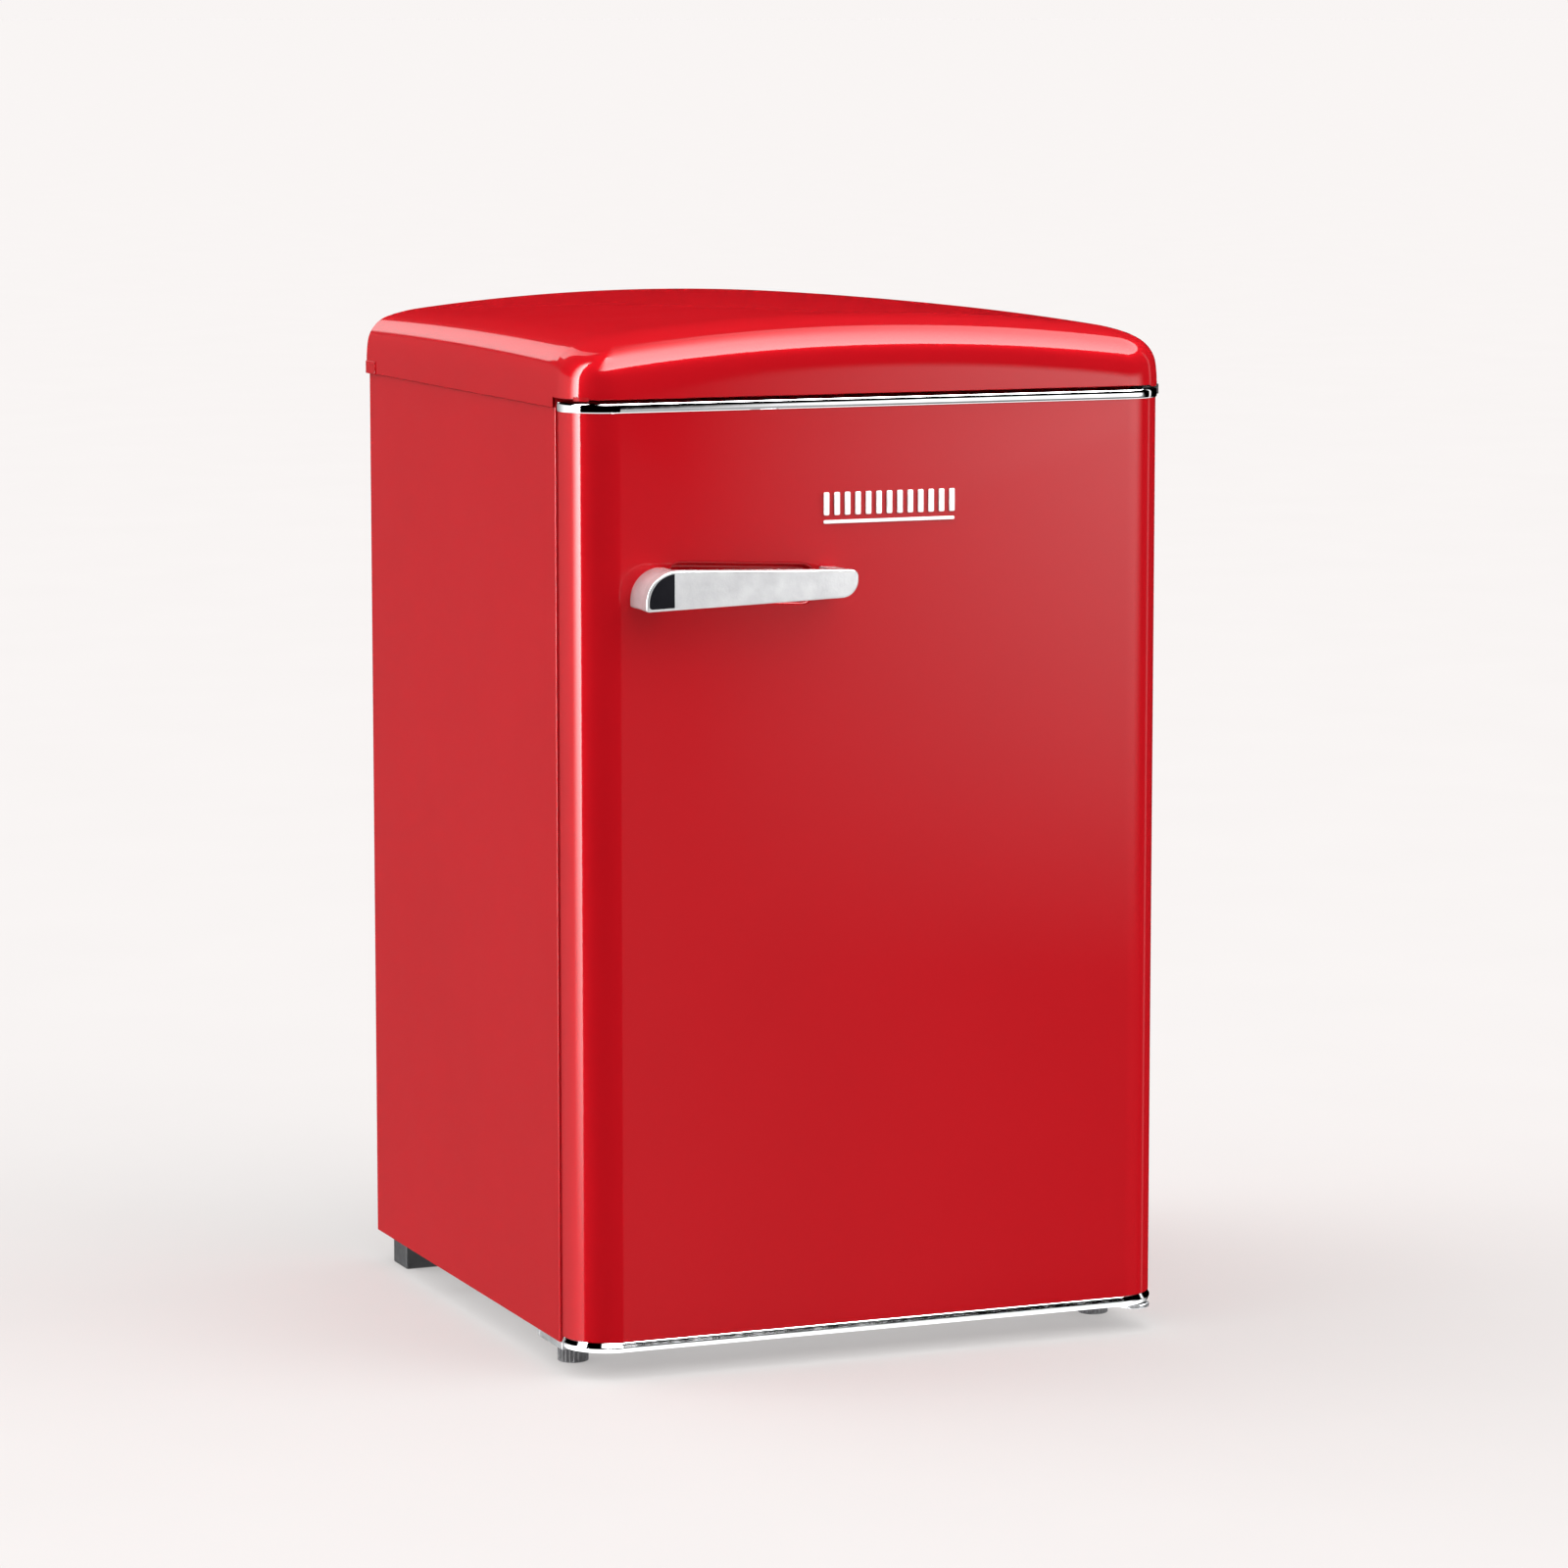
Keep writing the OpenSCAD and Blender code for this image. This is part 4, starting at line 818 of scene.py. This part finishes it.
REBUILT = {
    "lid", "door_skin", "door_top_trim", "door_bottom_trim", "handle", "handle_inlay", "door_badge",
    "door_gasket", "door_liner", "side_panel_left", "side_panel_right", "inner_liner",
    "front_foot_left", "front_foot_right"}
# Width in mm of the round given to a carried-over node's edges, where it isn't the usual one
USUAL_BEVEL = 0.5
BEVELS = {"condenser_tube": 0, "condenser_wires": 0, "refrigerant_pipes": 0, "compressor": 0,
          "upper_hinge_bracket": 0.6, "lower_hinge_bracket": 0.8, "ice_box_frame": 1.5,
          "ice_flap": 1.2, "thermostat_housing": 2.0, "relay_box": 1.5, "crisper_drawer": 0.6,
          "rear_foot_left": 1.5, "rear_foot_right": 1.5, "rear_spacers": 1.5, "lamp_bulb": 0,
          "back_panel": 0.2, "top_panel": 0.2, "front_rail_top": 0.2, "front_rail_bottom": 0.2}
for node_name in nodes:
    if node_name not in REBUILT:
        finish_cad(node_name, BEVELS.get(node_name, USUAL_BEVEL))


# ------------------------------------------------------------------ floor, light and camera

# The pale backdrop. The floor adds a slight glow to what it reflects to stay as pale.
PAPER = (0.945, 0.912, 0.902)
FLOOR_R = 400.0
FLOOR_GLOW = 0.35
FLOOR_SHADES = (0.281, 0.286)


def build_floor():
    """A plain floor that runs to the horizon."""
    mesh = bpy.data.meshes.new("floor")
    bm = bmesh.new()
    bmesh.ops.create_circle(bm, cap_ends=True, radius=FLOOR_R, segments=64)
    bm.to_mesh(mesh)
    bm.free()
    floor = bpy.data.objects.new("floor", mesh)
    bpy.context.scene.collection.objects.link(floor)
    m = Nodes("floor", Specular_IOR_Level=0.0, Emission_Color=(*PAPER, 1),
              Emission_Strength=FLOOR_GLOW)
    low, high = ([c * shade for c in PAPER] for shade in FLOOR_SHADES)
    m.to(m.ramp(m.noise(4.0), low, high), "Base Color")
    m.to(m.ramp(m.noise(10.0), 0.85, 0.95), "Roughness")
    mesh.materials.append(m.material)
    floor.visible_glossy = False


# Soft boxes that only glossy rays see. Azimuth runs from +Y towards +X, in degrees. Each row holds
# the azimuth span, its two edges' softness, the elevation span and softness, then the brightness
# at two azimuths and its factor at two elevations.
SOFT_BOXES = [
    # bright edge and wall of light on the left: the door's round corner and side
    ((-101, -83), (0.8, 8), (-45, 60), (6, 10), (-101, 22.0), (-86, 9.0), (-12.5, 0.03), (-4.5, 1.0)),
    ((-101, -24), (0.8, 6), (-45, 12), (6, 2), (-90, 1.3), (-30, 0.3), (-14, 1.0), (-4, 1.0)),
    # low glow behind on the left: the side sheet
    ((-24, -8), (6, 6), (-45, 11), (6, 1.5), (-24, 0.16), (-14, 0.16), (-14, 0.9), (-4, 1.0)),
    # window behind: the lid's left edge
    ((-17.4, 5.4), (0.8, 1.2), (13, 62), (1.0, 5), (-17, 2.1), (5, 1.0), (10, 1.0), (20, 1.0)),
    # overhead bank: the lid's front edge and every plated edge that looks up
    ((24, 205), (7, 14), (39, 100), (0.9, 1), (31, 1.0), (151, 12.0), (38, 1.0), (60, 0.8)),
    # front bank on the right: the door's and the lid's upper right
    ((124, 159.5), (14, 1.5), (-11, 2), (4, 3), (159, 0.0), (154, 3.0), (-9.5, 0.03), (-3.6, 1.0)),
    ((110, 160.2), (6, 0.8), (-45, -5), (8, 3), (154, 0.08), (160, 0.35), (-14, 1.0), (-4, 1.0)),
    # edge of a stand on the right
    ((83, 91), (2, 2), (-45, 30), (6, 6), (83, 0.7), (91, 0.7), (-14, 0.6), (-4, 1.0)),
    # pale ground
    ((-400, 400), (1, 1), (-100, -27), (1, 9), (-200, 0.9), (200, 0.9), (-60, 1.0), (-20, 1.0)),
]
# The sky that lights everything else: its level, what it gains overhead, and two broad lamps as
# (direction, strength). The studio's level multiplies every soft box.
SKY_LOW = 0.3
SKY_TOP = 2.7
SKY_LAMPS = [((-0.785, 0.453, 0.423), 4.5), ((0.694, -0.583, 0.423), 4.0)]
STUDIO_LEVEL = 1.6


def build_world():
    """White light for everything but glossy rays, which see the studio's soft boxes."""
    world = bpy.data.worlds.new("studio")
    bpy.context.scene.world = world
    world.use_nodes = True
    world.cycles.sampling_method = "NONE"
    tree = world.node_tree
    tree.nodes.clear()

    def math_node(kind, a, b=None):
        made = tree.nodes.new("ShaderNodeMath")
        made.operation = kind
        for socket, value in zip(made.inputs, (a, b)):
            if isinstance(value, (int, float)):
                socket.default_value = value
            elif value is not None:
                tree.links.new(value, socket)
        return made.outputs[0]

    def lamp(toward, strength, power):
        dot = tree.nodes.new("ShaderNodeVectorMath")
        dot.operation = "DOT_PRODUCT"
        tree.links.new(direction, dot.inputs[0])
        dot.inputs[1].default_value = toward
        facing = math_node("MAXIMUM", dot.outputs["Value"], 0.0)
        return math_node("MULTIPLY", math_node("POWER", facing, power), strength)

    def ramp(value, low, high):
        made = tree.nodes.new("ShaderNodeMapRange")
        for key, number in zip(("From Min", "To Min", "From Max", "To Max"), low + high):
            made.inputs[key].default_value = number
        tree.links.new(value, made.inputs["Value"])
        return made.outputs["Result"]

    def window(value, edge, soft, rising):
        made = tree.nodes.new("ShaderNodeMapRange")
        made.interpolation_type = "SMOOTHSTEP"
        made.inputs["From Min"].default_value = edge - soft
        made.inputs["From Max"].default_value = edge + soft
        made.inputs["To Min"].default_value = 0.0 if rising else 1.0
        made.inputs["To Max"].default_value = 1.0 if rising else 0.0
        tree.links.new(value, made.inputs["Value"])
        return made.outputs["Result"]

    direction = tree.nodes.new("ShaderNodeTexCoord").outputs["Generated"]
    axes = tree.nodes.new("ShaderNodeSeparateXYZ")
    tree.links.new(direction, axes.inputs[0])
    degrees = 180 / math.pi
    azimuth = math_node("MULTIPLY", math_node("ARCTAN2", axes.outputs["X"], axes.outputs["Y"]), degrees)
    behind = math_node("MULTIPLY", math_node("LESS_THAN", azimuth, -100.0), 360.0)
    wrapped = math_node("ADD", azimuth, behind)
    elevation = math_node("MULTIPLY", math_node("ARCSINE", axes.outputs["Z"]), degrees)
    total = None
    for az, az_soft, el, el_soft, az_a, az_b, el_a, el_b in SOFT_BOXES:
        turn = wrapped if az[1] > 180 and az[0] > 0 else azimuth
        box = math_node("MULTIPLY", ramp(turn, az_a, az_b), ramp(elevation, el_a, el_b))
        for factor in (window(turn, az[0], az_soft[0], True), window(turn, az[1], az_soft[1], False),
                       window(elevation, el[0], el_soft[0], True),
                       window(elevation, el[1], el_soft[1], False)):
            box = math_node("MULTIPLY", box, factor)
        total = box if total is None else math_node("ADD", total, box)
    studio = tree.nodes.new("ShaderNodeBackground")
    studio.inputs["Color"].default_value = (STUDIO_LEVEL, STUDIO_LEVEL, STUDIO_LEVEL, 1)
    tree.links.new(total, studio.inputs["Strength"])
    level = math_node("ADD", lamp((0, 0, 1), SKY_TOP, 4.0), SKY_LOW)
    for toward, strength in SKY_LAMPS:
        level = math_node("ADD", level, lamp(toward, strength, 5.0))
    sky = tree.nodes.new("ShaderNodeBackground")
    sky.inputs["Color"].default_value = (1, 1, 1, 1)
    tree.links.new(level, sky.inputs["Strength"])
    paper = tree.nodes.new("ShaderNodeBackground")
    paper.inputs["Color"].default_value = (*PAPER, 1)
    rays = tree.nodes.new("ShaderNodeLightPath")
    seen = sky.outputs[0]
    for ray, shader in (("Is Glossy Ray", studio), ("Is Camera Ray", paper)):
        mix = tree.nodes.new("ShaderNodeMixShader")
        tree.links.new(rays.outputs[ray], mix.inputs["Fac"])
        tree.links.new(seen, mix.inputs[1])
        tree.links.new(shader.outputs[0], mix.inputs[2])
        seen = mix.outputs[0]
    out = tree.nodes.new("ShaderNodeOutputWorld")
    tree.links.new(seen, out.inputs["Surface"])


CAMERA_PLACE = (-1.915, -4.7615, 1.155)
CAMERA_PITCH = 7.67
CAMERA_TURN = 22.14
CAMERA_LENS = 133.3


def build_camera():
    """A long lens from the front left, above the lid and looking slightly down."""
    data = bpy.data.cameras.new("camera")
    data.lens = CAMERA_LENS
    data.sensor_width = 36.0
    camera = bpy.data.objects.new("camera", data)
    camera.location = CAMERA_PLACE
    camera.rotation_euler = (math.radians(90 - CAMERA_PITCH), 0, -math.radians(CAMERA_TURN))
    bpy.context.scene.collection.objects.link(camera)
    bpy.context.scene.camera = camera
    bpy.context.scene.view_settings.view_transform = "Standard"


build_floor()
build_world()
build_camera()
